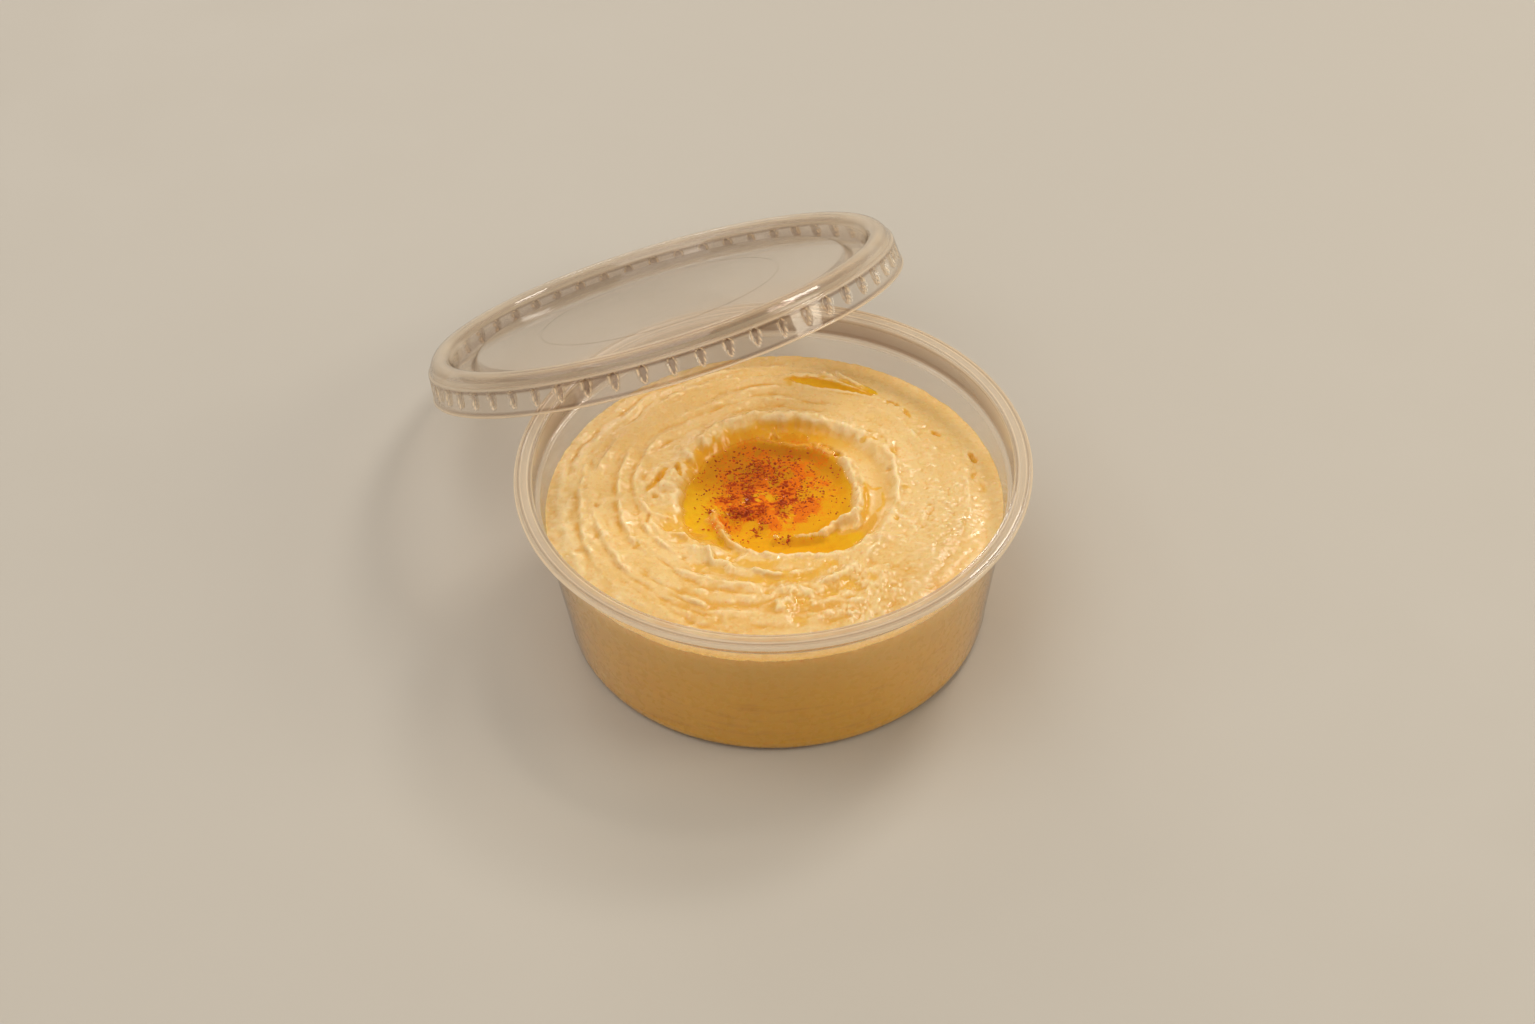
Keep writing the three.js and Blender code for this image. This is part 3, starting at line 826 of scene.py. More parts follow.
# height, left, right and points of each fold, then ragged and tip where they aren't the usual
FOLDS = tuple(Fold(*row) for row in (
    # torn flaps on the slope at the back left of the pool, broad at the crest and pointed below
    (0.6, 1.3, 1.5, ((-20.8, 18.0), (-18.6, 14.8), (-17.0, 11.6)), 0.3, 0.4),
    (0.45, 1.2, 1.0, ((-15.8, 20.6), (-14.4, 17.6), (-14.0, 14.6)), 0.4, 0.45),
    (0.55, 1.1, 1.5, ((-11.8, 23.6), (-11.6, 20.4), (-10.2, 18.2)), 0.4, 0.4),
    (0.3, 0.8, 1.0, ((-8.2, 25.0), (-8.0, 22.4), (-7.2, 21.0)), 0.4, 0.5),
    (-0.7, 1.2, 1.2, ((-19.8, 14.0), (-18.4, 11.6))),
    (-0.35, 0.5, 0.5, ((-17.3, 19.0), (-16.2, 16.0)), 0.3, 1.6),
    (0.7, 0.5, 0.5, ((0.4, 25.6), (1.3, 23.8), (1.8, 22.4))),
    # scallops of the back crest
    (0.5, 0.8, 1.2, ((-11.0, 26.6), (-8.2, 26.0), (-6.4, 27.4), (-3.6, 28.4), (-1.0, 28.6))),
    (0.5, 0.8, 1.2, ((-0.4, 28.8), (2.6, 27.4), (5.6, 28.0), (7.6, 26.8), (10.4, 26.6), (13.4, 25.2))),
    (0.5, 0.6, 1.0, ((13.6, 25.4), (17.4, 23.4), (20.0, 21.6), (22.6, 20.8), (22.8, 19.2))),
    (0.6, 0.5, 0.9, ((23.0, 19.4), (25.6, 16.6), (27.6, 12.6), (28.5, 7.4), (28.5, 2.0), (27.7, -3.0),
                     (26.4, -7.6))),
    # slits and lumps of the bank at the left
    (-1.6, 0.65, 0.65, ((-28.8, 4.6), (-26.8, 7.8), (-24.8, 11.0)), 0.4),
    (-1.1, 0.4, 0.4, ((-21.2, 8.4), (-21.6, 10.5), (-22.4, 12.6))),
    (0.6, 0.5, 0.6, ((-27.2, 10.4), (-25.8, 12.4), (-23.4, 13.4))),
    (0.6, 0.5, 0.5, ((-23.4, 8.0), (-23.0, 10.6))),
    (0.9, 1.4, 1.2, ((-26.6, 4.8), (-24.2, 5.4), (-22.6, 4.0))),
    (0.8, 0.9, 0.6, ((-30.6, 0.4), (-28.4, -3.0), (-26.0, -4.2), (-23.8, -5.2))),
    (0.6, 0.7, 0.9, ((-24.2, 2.6), (-21.8, 0.2), (-21.2, -3.6), (-20.6, -8.0))),
    (0.7, 0.6, 0.9, ((-28.6, -4.6), (-27.0, -8.2), (-23.6, -10.0), (-20.4, -10.8), (-19.4, -13.4))),
    (-0.6, 0.4, 0.4, ((-28.4, -3.4), (-28.8, -6.8))),
    (0.9, 0.4, 0.9, ((-20.0, -14.8), (-15.6, -15.2), (-14.6, -17.4), (-13.9, -20.2))),
    # small scallops of the crest in front of the pool
    (0.55, 0.35, 0.8, ((-8.5, -14.2), (-7.2, -15.7), (-6.0, -15.4), (-4.6, -17.1), (-3.0, -16.6),
                       (-1.4, -17.9), (0.4, -17.3), (2.2, -18.4), (4.2, -17.7), (6.4, -18.6),
                       (8.6, -18.0), (11.0, -18.8), (13.4, -18.3), (16.0, -19.2)), 0.4),
    # torn edge of the ridge between the shelf and the pool
    (0.35, 0.5, 1.6, ((-13.6, -2.6), (-13.8, -5.0), (-12.4, -8.0)), 0.6),
    (0.6, 0.3, 0.4, ((-12.8, -8.6), (-11.8, -10.6), (-10.4, -12.8), (-8.0, -15.2))),
    (0.6, 0.5, 0.45, ((-13.6, -5.6), (-10.8, -7.6))),
    (0.5, 0.5, 0.4, ((-14.2, -3.2), (-11.6, -4.4))),
    (0.5, 0.45, 0.5, ((-12.6, -8.8), (-9.6, -9.8))),
    (-0.5, 0.5, 0.5, ((-12.9, -4.6), (-10.9, -5.8))),
    (-0.45, 0.45, 0.45, ((-11.9, -8.4), (-9.9, -8.8))),
    # waves in front of the pool
    (0.9, 0.6, 0.9, ((-19.6, -15.4), (-15.6, -15.8), (-14.8, -17.8), (-13.8, -20.4), (-10.8, -20.8),
                     (-9.8, -22.8), (-5.4, -23.5), (-0.2, -24.9), (4.6, -24.7), (8.8, -23.7)), 0.45),
    (0.5, 0.8, 1.6, ((-24, -21.5), (-18, -24.8), (-11, -27.4), (-4, -28.6), (0.2, -28.6)), 0.5),
    (0.45, 0.8, 1.4, ((-20, -28.2), (-14, -30.4), (-8, -31.8), (-1.4, -32.0)), 0.5),
    (-0.35, 1.2, 1.4, ((-16, -32.4), (-10, -34.0), (-3, -34.4))),
    (0.3, 0.8, 1.0, ((-18, -34.6), (-10, -36.4), (-2, -37.0))),
    (0.6, 1.2, 0.6, ((-30, -21), (-25, -27.4), (-19, -32.4), (-13, -36)), 0.5),
    (-0.4, 0.7, 1.0, ((-32, -23.4), (-27, -29.4), (-21, -34.4), (-15, -37.4))),
    # crumpled lumps at the front
    (0.75, 1.2, 1.3, ((0.8, -28.0), (1.9, -30.2), (2.8, -32.6)), 0.35, 0.8),
    (0.6, 1.2, 1.0, ((2.9, -33.2), (1.7, -34.8), (1.9, -37.0)), 0.35),
    (0.4, 0.9, 0.9, ((3.0, -29.0), (4.0, -31.4)), 0.4),
    (0.7, 1.0, 1.2, ((4.9, -27.7), (5.7, -29.8), (7.4, -32.4)), 0.35, 1.2),
    (0.45, 1.0, 1.0, ((8.6, -29.8), (10.0, -31.6)), 0.4),
    (0.45, 2.2, 0.8, ((-0.2, -32.8), (0.1, -35.0), (-0.4, -37.6)), 0.3),
    (0.6, 1.0, 0.8, ((8.6, -29.0), (12.0, -27.2), (15.4, -25.2), (18.6, -21.8)), 0.5),
    (0.5, 0.8, 0.8, ((19.4, -20.4), (22.6, -17.0), (24.4, -13.6)), 0.5),
    (0.6, 0.5, 1.2, ((19.4, -15.6), (21.0, -13.2), (24.6, -13.0)), 0.3),
    (0.5, 0.7, 0.7, ((12.6, -34.0), (16.0, -34.4), (19.4, -33.2)), 0.6),
    (0.4, 0.6, 0.6, ((9.6, -37.0), (14.0, -37.8), (18.6, -37.2)), 0.6),
    # bands that the spoon left round the swirl: steep on one side, fading on the other
    (0.85, 3.0, 0.5, ((-41.9, 18), (-43.7, 10), (-44.2, 1), (-43.7, -8), (-41.8, -16), (-38.2, -23)), 0.3),
    (0.95, 2.6, 0.5, ((-32.6, 18.6), (-35.0, 9.6), (-35.6, 1), (-34.4, -6), (-31.4, -13), (-28, -18)), 0.35),
    (0.8, 2.4, 0.5, ((-41.4, 0), (-40.4, -6.4), (-38.0, -13.4), (-34.6, -20), (-30, -26)), 0.3),
    (0.85, 2.0, 0.45, ((-27.6, 20.6), (-30.2, 14.0), (-31.4, 7), (-31.2, 0.5)), 0.35),
    (0.8, 2.0, 0.45, ((-30.4, -3.4), (-29.2, -7.6), (-26.8, -12.0), (-23.0, -16.6)), 0.3),
    (0.6, 2.0, 0.45, ((-34.6, 24), (-38.6, 17), (-40.4, 11)), 0.3),
    (0.6, 2.3, 2.8, ((-43.4, 22), (-47.0, 12), (-48.2, 1), (-47.2, -9), (-44.4, -18), (-40, -26)), 0.3),
    (0.45, 0.5, 2.0, ((10, 33.2), (0, 34.8), (-9, 34.2), (-18, 31), (-25, 26.6)), 0.35),
    (0.45, 0.5, 2.2, ((-1, 43.6), (-10, 42.6), (-20, 39), (-29, 32.6)), 0.35),
    (0.35, 0.5, 1.6, ((4, 47.4), (-6, 47.2), (-16, 44.6)), 0.3),
    (0.35, 0.4, 1.8, ((39.6, -13), (42.6, -7), (44.2, 0), (43.6, 8)), 0.3),
    (0.3, 0.4, 1.6, ((20, 33.4), (28, 27.6), (33.4, 20.4), (36.2, 12)), 0.3),
    # the hook's ragged lump
    (0.6, 1.3, 1.3, ((18.6, -6.6), (16.4, -6.8), (13.8, -8.2)), 0.6),
    (0.6, 0.5, 0.5, ((18.9, -5.0), (18.7, -8.2), (17.6, -9.8))),
    (0.5, 0.4, 0.5, ((16.6, -5.2), (14.8, -6.0), (13.2, -8.0))),
    (0.3, 0.4, 0.4, ((12.6, -9.2), (9.0, -10.9), (5.0, -10.9)), 0.8),
    (0.6, 0.4, 0.5, ((16.2, 13.8), (17.4, 11.4), (18.4, 8.4))),
    (0.4, 0.35, 0.5, ((19.0, 4.6), (19.6, 1.0), (19.4, -3.0))),
    (0.35, 0.3, 0.4, ((2.4, 20.8), (6.0, 19.8), (10.0, 19.0), (13.0, 17.4)), 0.7),
    (-0.5, 0.5, 0.5, ((20.8, 4.6), (21.0, 0.0), (20.6, -5.4))),
    # the split's far lip and its two peaks
    (0.45, 0.8, 0.6, ((3.0, 43.4), (10.0, 43.2), (17.0, 41.2), (23.0, 37.6)), 0.15),
    (0.8, 0.6, 0.6, ((13.0, 45.0), (13.8, 43.2), (15.4, 42.4)), 0.1, 1.6),
    (0.8, 0.6, 0.8, ((16.4, 44.8), (17.4, 42.8), (20.0, 40.4), (22.4, 38.4)), 0.2),
    # ledges behind the well
    (0.5, 0.6, 1.6, ((-9.5, 36.6), (-5.0, 38.0), (-1.0, 39.2), (1.8, 39.4), (2.4, 37.8)), 0.2),
    (0.4, 0.5, 1.4, ((-12.0, 31.6), (-7.0, 33.6), (-2.0, 34.6), (0.8, 34.0), (1.0, 32.4)), 0.3),
    (-0.6, 0.35, 0.35, ((17.8, 38.6), (21.0, 36.6), (24.4, 35.0))),
    # thin cracks and pits at the back right
    (-0.5, 0.3, 0.3, ((27.4, 33.4), (30.4, 31.2))),
    (-0.4, 0.3, 0.3, ((30.8, 30.4), (31.8, 28.6), (32.8, 26.6))),
    (-0.5, 0.3, 0.3, ((37.4, 22.0), (39.2, 20.0))),
    (-1.0, 0.5, 0.5, ((45.6, 14.6), (46.4, 12.8), (46.8, 11.2))),
    (-0.4, 0.3, 0.3, ((46.6, 7.2), (45.6, 5.4))),
    (-0.3, 0.3, 0.3, ((47.2, 4.4), (48.3, 0.4))),
    (-0.6, 0.5, 0.5, ((26.8, -8.6), (27.9, -8.2))),
    # small pits at the left
    (-0.7, 0.4, 0.4, ((-31.4, -13.2), (-30.4, -14.6))),
    (-0.35, 0.4, 0.4, ((-40.6, 0.3), (-40.4, -0.4))),
    (-0.3, 0.35, 0.35, ((-31.6, -3.6), (-31.5, -4.2))),
    (-0.5, 0.4, 0.4, ((-27.0, 2.9), (-26.9, 1.9))),
))

# strength, width and points of each wet place
WET_PATCHES = tuple(WetPatch(*row) for row in (
    (0.8, 0.8, ((20.8, 6), (21.1, 0), (20.5, -6))),
    (0.7, 0.4, ((21.4, 4.6), (22.4, 3), (24.6, 3.6))),
    (0.7, 0.4, ((24.8, 2), (24.9, -2), (23.4, -4))),
    (1.0, 0.9, ((-28.4, 5.2), (-26.4, 8.2), (-24.6, 11))),
    (1.0, 0.6, ((-21.8, 12.6), (-21.2, 9))),
    (1.0, 0.6, ((-15.9, 15.4), (-15.4, 20.2))),
    (0.9, 0.5, ((-13.6, 18.4), (-13.4, 21.2))),
    (0.9, 0.5, ((-10.8, 20.6), (-10.6, 23.2))),
    (0.66, 1.9, ((-10.6, -17.4), (-10.2, -19))),
    (0.55, 1.8, ((-9.6, -20.4), (-4, -21.4), (0, -21.2))),
    (0.3, 1.4, ((0, -21.2), (8, -21.6), (12, -20.6))),
    (0.6, 1.5, ((-6.8, -26.4), (-2.8, -26.4), (1.6, -26.0))),
    (0.64, 1.4, ((-1, -24.4), (2, -25.2), (5.4, -25.8), (9.4, -23.8), (13, -21.8))),
    (0.45, 1.1, ((-20, -20.6), (-15, -22.4), (-12, -23.8))),
    (1.0, 2.2, ((6, 41.6), (12, 40.4), (16, 39.2))),
    (0.9, 1.0, ((16, 39.2), (20, 37.4), (24, 35.2))),
    (0.7, 0.55, ((27.6, 33.2), (30.2, 31.4))),
    (0.7, 0.55, ((31.4, 30), (32.4, 27.2))),
    (0.85, 0.6, ((37.6, 21.8), (39.2, 20.2))),
    (0.8, 0.7, ((45.9, 14), (46.8, 11.4))),
    (0.5, 0.5, ((46.4, 6.8), (45.6, 5.6))),
    (0.3, 0.6, ((47.2, 4), (48.2, 0.6))),
    (0.62, 0.7, ((27, -8.5), (27.8, -8.3))),
    (0.7, 0.8, ((21, 19.2), (24, 18.8))),
    (0.5, 0.8, ((27.6, 15), (28.6, 14.6))),
    (0.4, 0.7, ((29.4, 2.2), (30.8, 1.6))),
    (0.6, 1.9, ((15.6, -28.2), (17, -28.8))),
    (0.5, 1.3, ((11, -30.6), (12.6, -31.6))),
    (0.55, 1.4, ((5.4, -34.2), (6.6, -34.8))),
    (0.55, 0.8, ((1.5, -35.2), (2, -36.2))),
    (0.45, 1.3, ((3.2, -39.5), (5.6, -39.8))),
    (0.35, 0.9, ((-11.6, -33.4), (-9.2, -34.2))),
    (0.4, 0.9, ((-2.6, -30.8), (-1.4, -30.8))),
    (0.45, 1.0, ((20.4, -26.4), (21.6, -27.6))),
    (0.62, 0.6, ((-31.3, -13.4), (-30.5, -14.4))),
    (0.6, 0.5, ((-27, 2.8), (-26.9, 2))),
    (0.5, 1.8, ((-24.2, -6.4), (-22.6, -8.6), (-20.4, -11.2))),
))


# outline of the crests round the well, clockwise from the left
SHORE = (
    (-21.5, 12.5), (-16, 20.5), (-8.5, 26.6), (0, 28.6), (9, 27.4), (17, 23.8), (24, 18.4), (28.6, 11),
    (29.6, 3), (28.6, -5), (25.6, -12), (20.5, -16.6), (14, -19.2), (6, -18.8), (-1, -18.6), (-7, -17.4),
    (-13, -16), (-19, -14.4), (-25, -10), (-26.4, -3), (-24.6, 4), (-21.5, 12.5),
)

# angle about the well's middle in degrees, and how thickly oil wets the slope there
WETTING = (
    (-180, 0.42), (-168, 0.5), (-152, 0.75), (-115, 0.4), (-60, 0.35), (-30, 0.3), (0, 0.1), (30, 0.14),
    (46, 0.5), (58, 0.92), (72, 1.0), (90, 1.0), (140, 1.0), (158, 0.8), (172, 0.45), (180, 0.42),
)

# x, y, the two radii and the strength of the rough and crumbly places: right of the well, at its front right,
# and a thin one at its left
ROUGH_ZONES = (
    (36, -7, 10, 16, 1.0), (20, -27, 11, 8, 1.0), (6, -33, 7, 6, 0.7), (38, 8, 7, 9, 0.45),
    (-25, 2, 5, 9, 0.5), (24, 21, 6, 5, 0.6), (17, -37, 14, 4, 0.8), (32, 24, 9, 9, 0.3),
)

# x, y, the two radii and the strength of the places where paprika lies thick
PAPRIKA_CLUMPS = (
    (-7.2, -1.8, 3.2, 2.2, 1.0), (2.0, 0.2, 1.3, 1.9, 1.0), (-5.4, 3.4, 1.4, 2.8, 0.9),
    (-2.6, -5.4, 1.4, 1.1, 0.95), (-4.6, -8.4, 1.3, 1.0, 0.7), (-3.0, -1.6, 1.5, 1.5, 0.7),
    (6.0, 4.0, 3.2, 2.6, 0.35), (2.6, 6.2, 1.3, 0.9, 0.8), (-7.0, 9.0, 3.6, 1.8, 0.55),
    (-3.0, 14.0, 4.0, 2.6, 0.5), (0.6, 9.4, 2.6, 1.4, 0.55), (-10.6, 4.0, 2.6, 2.4, 0.45),
    (2.4, -11.6, 1.4, 1.2, 0.55), (-11.0, -7.0, 0.9, 1.0, 0.6), (-14.6, -1.6, 1.4, 1.0, 0.4),
    (5.0, 12.6, 2.4, 2.0, 0.35),
)


@dataclass(frozen=True)
class SpoonedSurface:
    """Height of the hummus over any point, and where it is wet, stained or creviced."""

    edge_level: float = 31.0
    crown: float = 1.3
    wall_radius: float = 52.2
    swirl_x: float = -1.5
    swirl_y: float = 1.5
    ridge_pitch: float = 4.6
    ridge_height: float = 0.34
    ridge_start: float = 29.0
    well: tuple[float, float, float, float] = (-1.0, 2.5, 20.3, 21.5)
    well_floor: float = 28.3
    mound: tuple[float, float, float] = (-4.0, 0.5, 9.5)
    mound_top: float = 30.0
    oil_level: float = 30.6
    oil_middle: float = 2.0
    oil_reach: float = 26.0
    split: tuple[float, float, float, float, float] = (14.8, 39.5, -21.0, 10.5, 32.6)
    split_widths: tuple[float, float] = (1.9, 0.5)
    split_depth: float = 1.25
    split_level: float = 32.2
    front_climb: float = 1.3
    front_fade: float = 1.7
    creep_height: float = 1.9

    def swirl(self, x: Array, y: Array) -> tuple[Array, Array, Array]:
        """Radius and angle about the swirl, whose middle slides from the tub's axis to its own place.

        Args:
            x: Places across.
            y: Places front to back.

        Returns:
            The swirl radius, its angle, and the share of the way in from the wall.
        """
        inward = 1 - np.hypot(x, y) / self.wall_radius
        for _ in range(4):
            dx, dy = x - self.swirl_x * inward, y - self.swirl_y * inward
            radius = np.hypot(dx, dy)
            inward = 1 - radius / self.wall_radius
        return radius, np.arctan2(dy, dx), inward

    def along_swirl(self, radius: Array, angle: Array, across: float, along: float, seed: int) -> Array:
        """Noise drawn out along the spoon's path.

        Two copies with different seams are blended by the side that they are on, so that no seam shows.

        Args:
            radius: The swirl radius.
            angle: The swirl angle.
            across: Width of a lump.
            along: Length of a lump.
            seed: Picks the noise.

        Returns:
            Noise, roughly from -1 to 1.
        """
        right = cloud(radius / across, radius.clip(8) * angle / along, seed, 3)
        left = cloud(radius / across, radius.clip(8) * (angle % (2 * np.pi)) / along + 40.5, seed, 3)
        return mix(left, right, ease(-0.3, 0.3, np.cos(angle)))

    def folds(self, x: Array, y: Array) -> Array:
        """Sum of the small folds: each is its height times a bell of the distance to its path, made ragged.

        Args:
            x: Places across.
            y: Places front to back.

        Returns:
            The height they add.
        """
        total = np.zeros_like(x)
        for number, fold in enumerate(FOLDS):
            path = smooth_path(fold.points, 4)
            near = near_path(x, y, path, 3 * max(fold.left, fold.right))
            if not near.any():
                continue
            nx, ny = x[near], y[near]
            wander = 0.32 * lattice(nx / 2.0, ny / 2.0, 300 + number)
            side, share, _ = nearest_on_path(nx, ny, path)
            side = side + wander
            width = np.where(side > 0, fold.left, fold.right) * mix(1.0, fold.tip, share)
            shape = np.exp(-np.abs(side / width) ** 1.6)
            ends = ease(-0.02, 0.22, share) * ease(-0.02, 0.22, 1 - share) * 0.75 + 0.25
            strength = 1 + fold.ragged * 2 * lattice(nx / 2.1, ny / 2.1, 900 + number)
            total[near] += fold.height * shape * ends * strength
        return total

    def roughness_zone(self, x: Array, y: Array) -> Array:
        """How rough and crumbly the paste is, 0 to 1."""
        return strongest(x, y, ROUGH_ZONES, 1.3)

    def in_well(self, x: Array, y: Array) -> Array:
        """True where the oil's level counts; farther out the paste can lie below it and is dry."""
        return np.hypot(x, y - self.oil_middle) < self.oil_reach

    def split_axes(self, x: Array, y: Array) -> tuple[Array, Array]:
        """Turns places into the split's own axes.

        Args:
            x: Places across.
            y: Places front to back.

        Returns:
            Places along and across the split, from its middle.
        """
        sx, sy, turn = self.split[:3]
        c, s = math.cos(math.radians(turn)), math.sin(math.radians(turn))
        return c * (x - sx) + s * (y - sy), -s * (x - sx) + c * (y - sy)

    def in_split(self, x: Array, y: Array, half_long: float, half_wide: float) -> Array:
        """True within an oval about the split, given by its two half-lengths."""
        u, v = self.split_axes(x, y)
        return (u / half_long) ** 2 + (v / half_wide) ** 2 < 1

    def front(self, y: Array) -> Array:
        """How far to the front a place lies: 0 up to 12 mm before the middle, 1 at the wall."""
        return ease(12, 46, -y)

    def ridges(self, x: Array, y: Array) -> Array:
        """The spoon's ridges, which follow the swirl: broad bands with narrow valleys, higher at the left.

        Args:
            x: Places across.
            y: Places front to back.

        Returns:
            The height they add.
        """
        radius, angle, inward = self.swirl(x, y)
        drift = 0.3 * np.sin(angle + 0.6) + 0.18 * np.sin(2 * angle + 1.9)
        zone = ease(self.ridge_start, self.ridge_start + 3, radius) * ease(0, 0.08, inward)
        uneven = np.clip(0.55 + 1.4 * cloud(x / 11, y / 11, 5, 2), 0.05, 1.6)
        phase = radius / self.ridge_pitch - drift + 0.45 * cloud(x / 9, y / 9, 9, 2)
        bands = 2 * np.abs(np.cos(np.pi * phase)) ** 0.8 - 1.3
        return self.ridge_height * (0.62 - 0.38 * np.cos(angle)) * zone * uneven * bands

    def well_reach(self, x: Array, y: Array) -> Array:
        """How far out of the well's middle a place lies: about 1 at its brim."""
        wx, wy, hx, hy = self.well
        return np.hypot((x - wx) / hx, (y - wy) / hy) * (1 + 0.03 * cloud(x / 4, y / 4, 21, 2))

    def follow_strokes(self, x: Array, y: Array, z: Array) -> tuple[Array, Array]:
        """Pulls the height to each stroke's own level near its path.

        All but the first, the smooth trough, are uneven along their edge and on their top.

        Args:
            x: Places across.
            y: Places front to back.
            z: Heights there.

        Returns:
            The new heights, and how far each place lies in the trough, 0 to 1.
        """
        wave = 0.5 * lattice(x / 3.1, y / 3.1, 31) + 0.3 * lattice(x / 1.4, y / 1.4, 33)
        trough = np.zeros_like(x)
        for number, stroke in enumerate(STROKES):
            side, share, level = nearest_on_path(x, y, smooth_path(stroke.points))
            if number == 0:
                trough = np.exp(-np.abs(side / 4.4) ** 4) * ease(0.3, 0.42, share) * ease(0.92, 0.76, share)
            else:
                teeth = 0.7 + 0.9 * stroke.width
                rise = 0.75 if stroke.width < 1.0 else 0.45
                lift = rise * lattice(x / teeth, y / teeth, 50 + number)
                level = level + (lift + 0.22 * lattice(x / 1.2, y / 1.2, 60 + number))
                side = side + wave
            z = mix(z, level, np.exp(-np.abs(side / stroke.width) ** stroke.sharpness))
        return z, trough

    def roughen(self, x: Array, y: Array, z: Array, trough: Array) -> Array:
        """Adds crumbs, creases, streaks and beads, all but smooth in the trough and in the well.

        Args:
            x: Places across.
            y: Places front to back.
            z: Heights there.
            trough: How far each place lies in the trough.

        Returns:
            The new heights.
        """
        reach = self.well_reach(x, y)
        open_top = 1 - np.exp(-np.maximum(reach - 0.75, 0) ** 2 * 8)
        smooth_share = (1 - 0.92 * trough) * mix(0.25, 1.0, open_top)
        rough = self.roughness_zone(x, y) * (1 - 0.92 * trough)
        wx, wy = x + 1.1 * cloud(x / 5, y / 5, 171, 2), y + 1.1 * cloud(x / 5, y / 5, 181, 2)
        crumbs = 1 - 2 * np.abs(cloud(wx / 1.25, wy / 1.5, 61, 3))
        z = z + 0.18 * rough * (crumbs - 0.5)
        warped, turned_angle, _ = self.swirl(wx, wy)
        creases = 1 - 2.4 * np.abs(self.along_swirl(warped, turned_angle, 1.9, 7.0, 71))
        z = z + 0.09 * smooth_share * (1 - 0.5 * rough) * (creases - 0.4)
        z = z + 0.15 * smooth_share * self.along_swirl(warped, turned_angle, 3.4, 15.0, 76)
        z = z + 0.12 * smooth_share * cloud(wx / 2.5, wy / 2.5, 81, 3)
        z = z + 0.055 * smooth_share * (1 + 2.2 * rough) * cloud(x / 0.95, y / 0.95, 91, 2)
        slope = ease(0.85, 1.0, reach) * ease(1.4, 1.2, reach)
        about = np.arctan2(y - self.well[1], x - self.well[0])
        runs = cloud(10 * np.cos(about) + reach, 10 * np.sin(about) + 2 * reach, 241, 3)
        z = z + 0.3 * slope * (1 - trough) * runs
        beads = np.maximum(cloud(x / 1.3, y / 1.3, 101, 2) - 0.36, 0)
        return z + 0.8 * smooth_share * beads * (0.35 + rough)

    def height(self, x: Array, y: Array, fine: bool = True) -> Array:
        """Height of the surface.

        A crowned disc carries ridges that follow the spoon, the well is sunk into it, each stroke pulls the
        height to its own level near its path, and lumps, small folds, crumbs and streaks are added. At the
        front the paste climbs the wall, and its border there is jagged. The split is cut last.

        Args:
            x: Places across.
            y: Places front to back.
            fine: False leaves out the crumbs and streaks.

        Returns:
            The heights.
        """
        inward = self.swirl(x, y)[2]
        z = self.edge_level + self.crown * ease(0, 0.25, inward)
        z = z + self.ridges(x, y)
        mx, my, mound_radius = self.mound
        floor = mix(self.mound_top, self.well_floor, ease(0.2, 1.1, np.hypot(x - mx, y - my) / mound_radius))
        z = mix(z, floor, 1 - ease(0.78, 1.08, self.well_reach(x, y)))
        z, trough = self.follow_strokes(x, y, z)
        ux, uy = x + 0.8 * cloud(x / 1.6, y / 1.6, 191, 2), y + 0.8 * cloud(x / 1.6, y / 1.6, 201, 2)
        for lx, ly, lump_radius, lump_height in LUMPS:
            z = z + lump_height * np.exp(-((ux - lx) ** 2 + (uy - ly) ** 2) / lump_radius**2)
        z = z + self.folds(x, y)
        if fine:
            z = self.roughen(x, y, z, trough)
        gap = self.wall_radius - np.hypot(x, y)
        z = z + self.front_climb * self.front(y) * np.exp(-np.maximum(gap, 0) / self.front_fade)
        jag = ease(0.045, 0.0, inward)
        z = z + jag * (0.3 * cloud(x / 1.6, y / 1.6, 111, 3) + 0.1)
        return self.cut_split(x, y, z)

    def cut_split(self, x: Array, y: Array, z: Array) -> Array:
        """Sinks the narrow split at the back: a long boat shape, wide at its left and thin at its right.

        The paste round it is first drawn to the level of the split's lips.

        Args:
            x: Places across.
            y: Places front to back.
            z: Heights there.

        Returns:
            The new heights.
        """
        half, top = self.split[3:]
        u, v = self.split_axes(x, y)
        v = v + 0.25 * lattice(u / 2.5, u * 0, 121) + 0.008 * u**2 + 0.4
        width = mix(*self.split_widths, ease(-6, 11, u))
        away = (u / half) ** 2 + (v / width) ** 2
        z = mix(z, top, np.exp(-((u / (half * 1.15)) ** 4) - (v / (width * 1.7)) ** 4))
        return z - self.split_depth * np.clip(1 - away, 0, 1) ** 0.7

    def creep(self, x: Array, y: Array, z: Array) -> Array:
        """Oil that has crept up the well's slope: none at its brim, full at creep_height below it.

        It stays within the crests. Where more oil wets the slope, its brim lies higher.

        Args:
            x: Places across.
            y: Places front to back.
            z: Heights there.

        Returns:
            The share of oil, 0 to 1.
        """
        side, _, _ = nearest_on_path(x, y, smooth_path(SHORE, 3))
        angles, strengths = zip(*WETTING)
        wx, wy = self.well[:2]
        strength = np.interp(np.degrees(np.arctan2(y - wy, x - wx)), angles, strengths)
        uneven = z + 0.5 * cloud(x / 2.2, y / 2.2, 211, 3)
        brim = 33.0 + 0.7 * ease(0.6, 0.95, strength)
        return strength * ease(brim, brim - self.creep_height, uneven) * ease(-0.6, 1.2, -side)

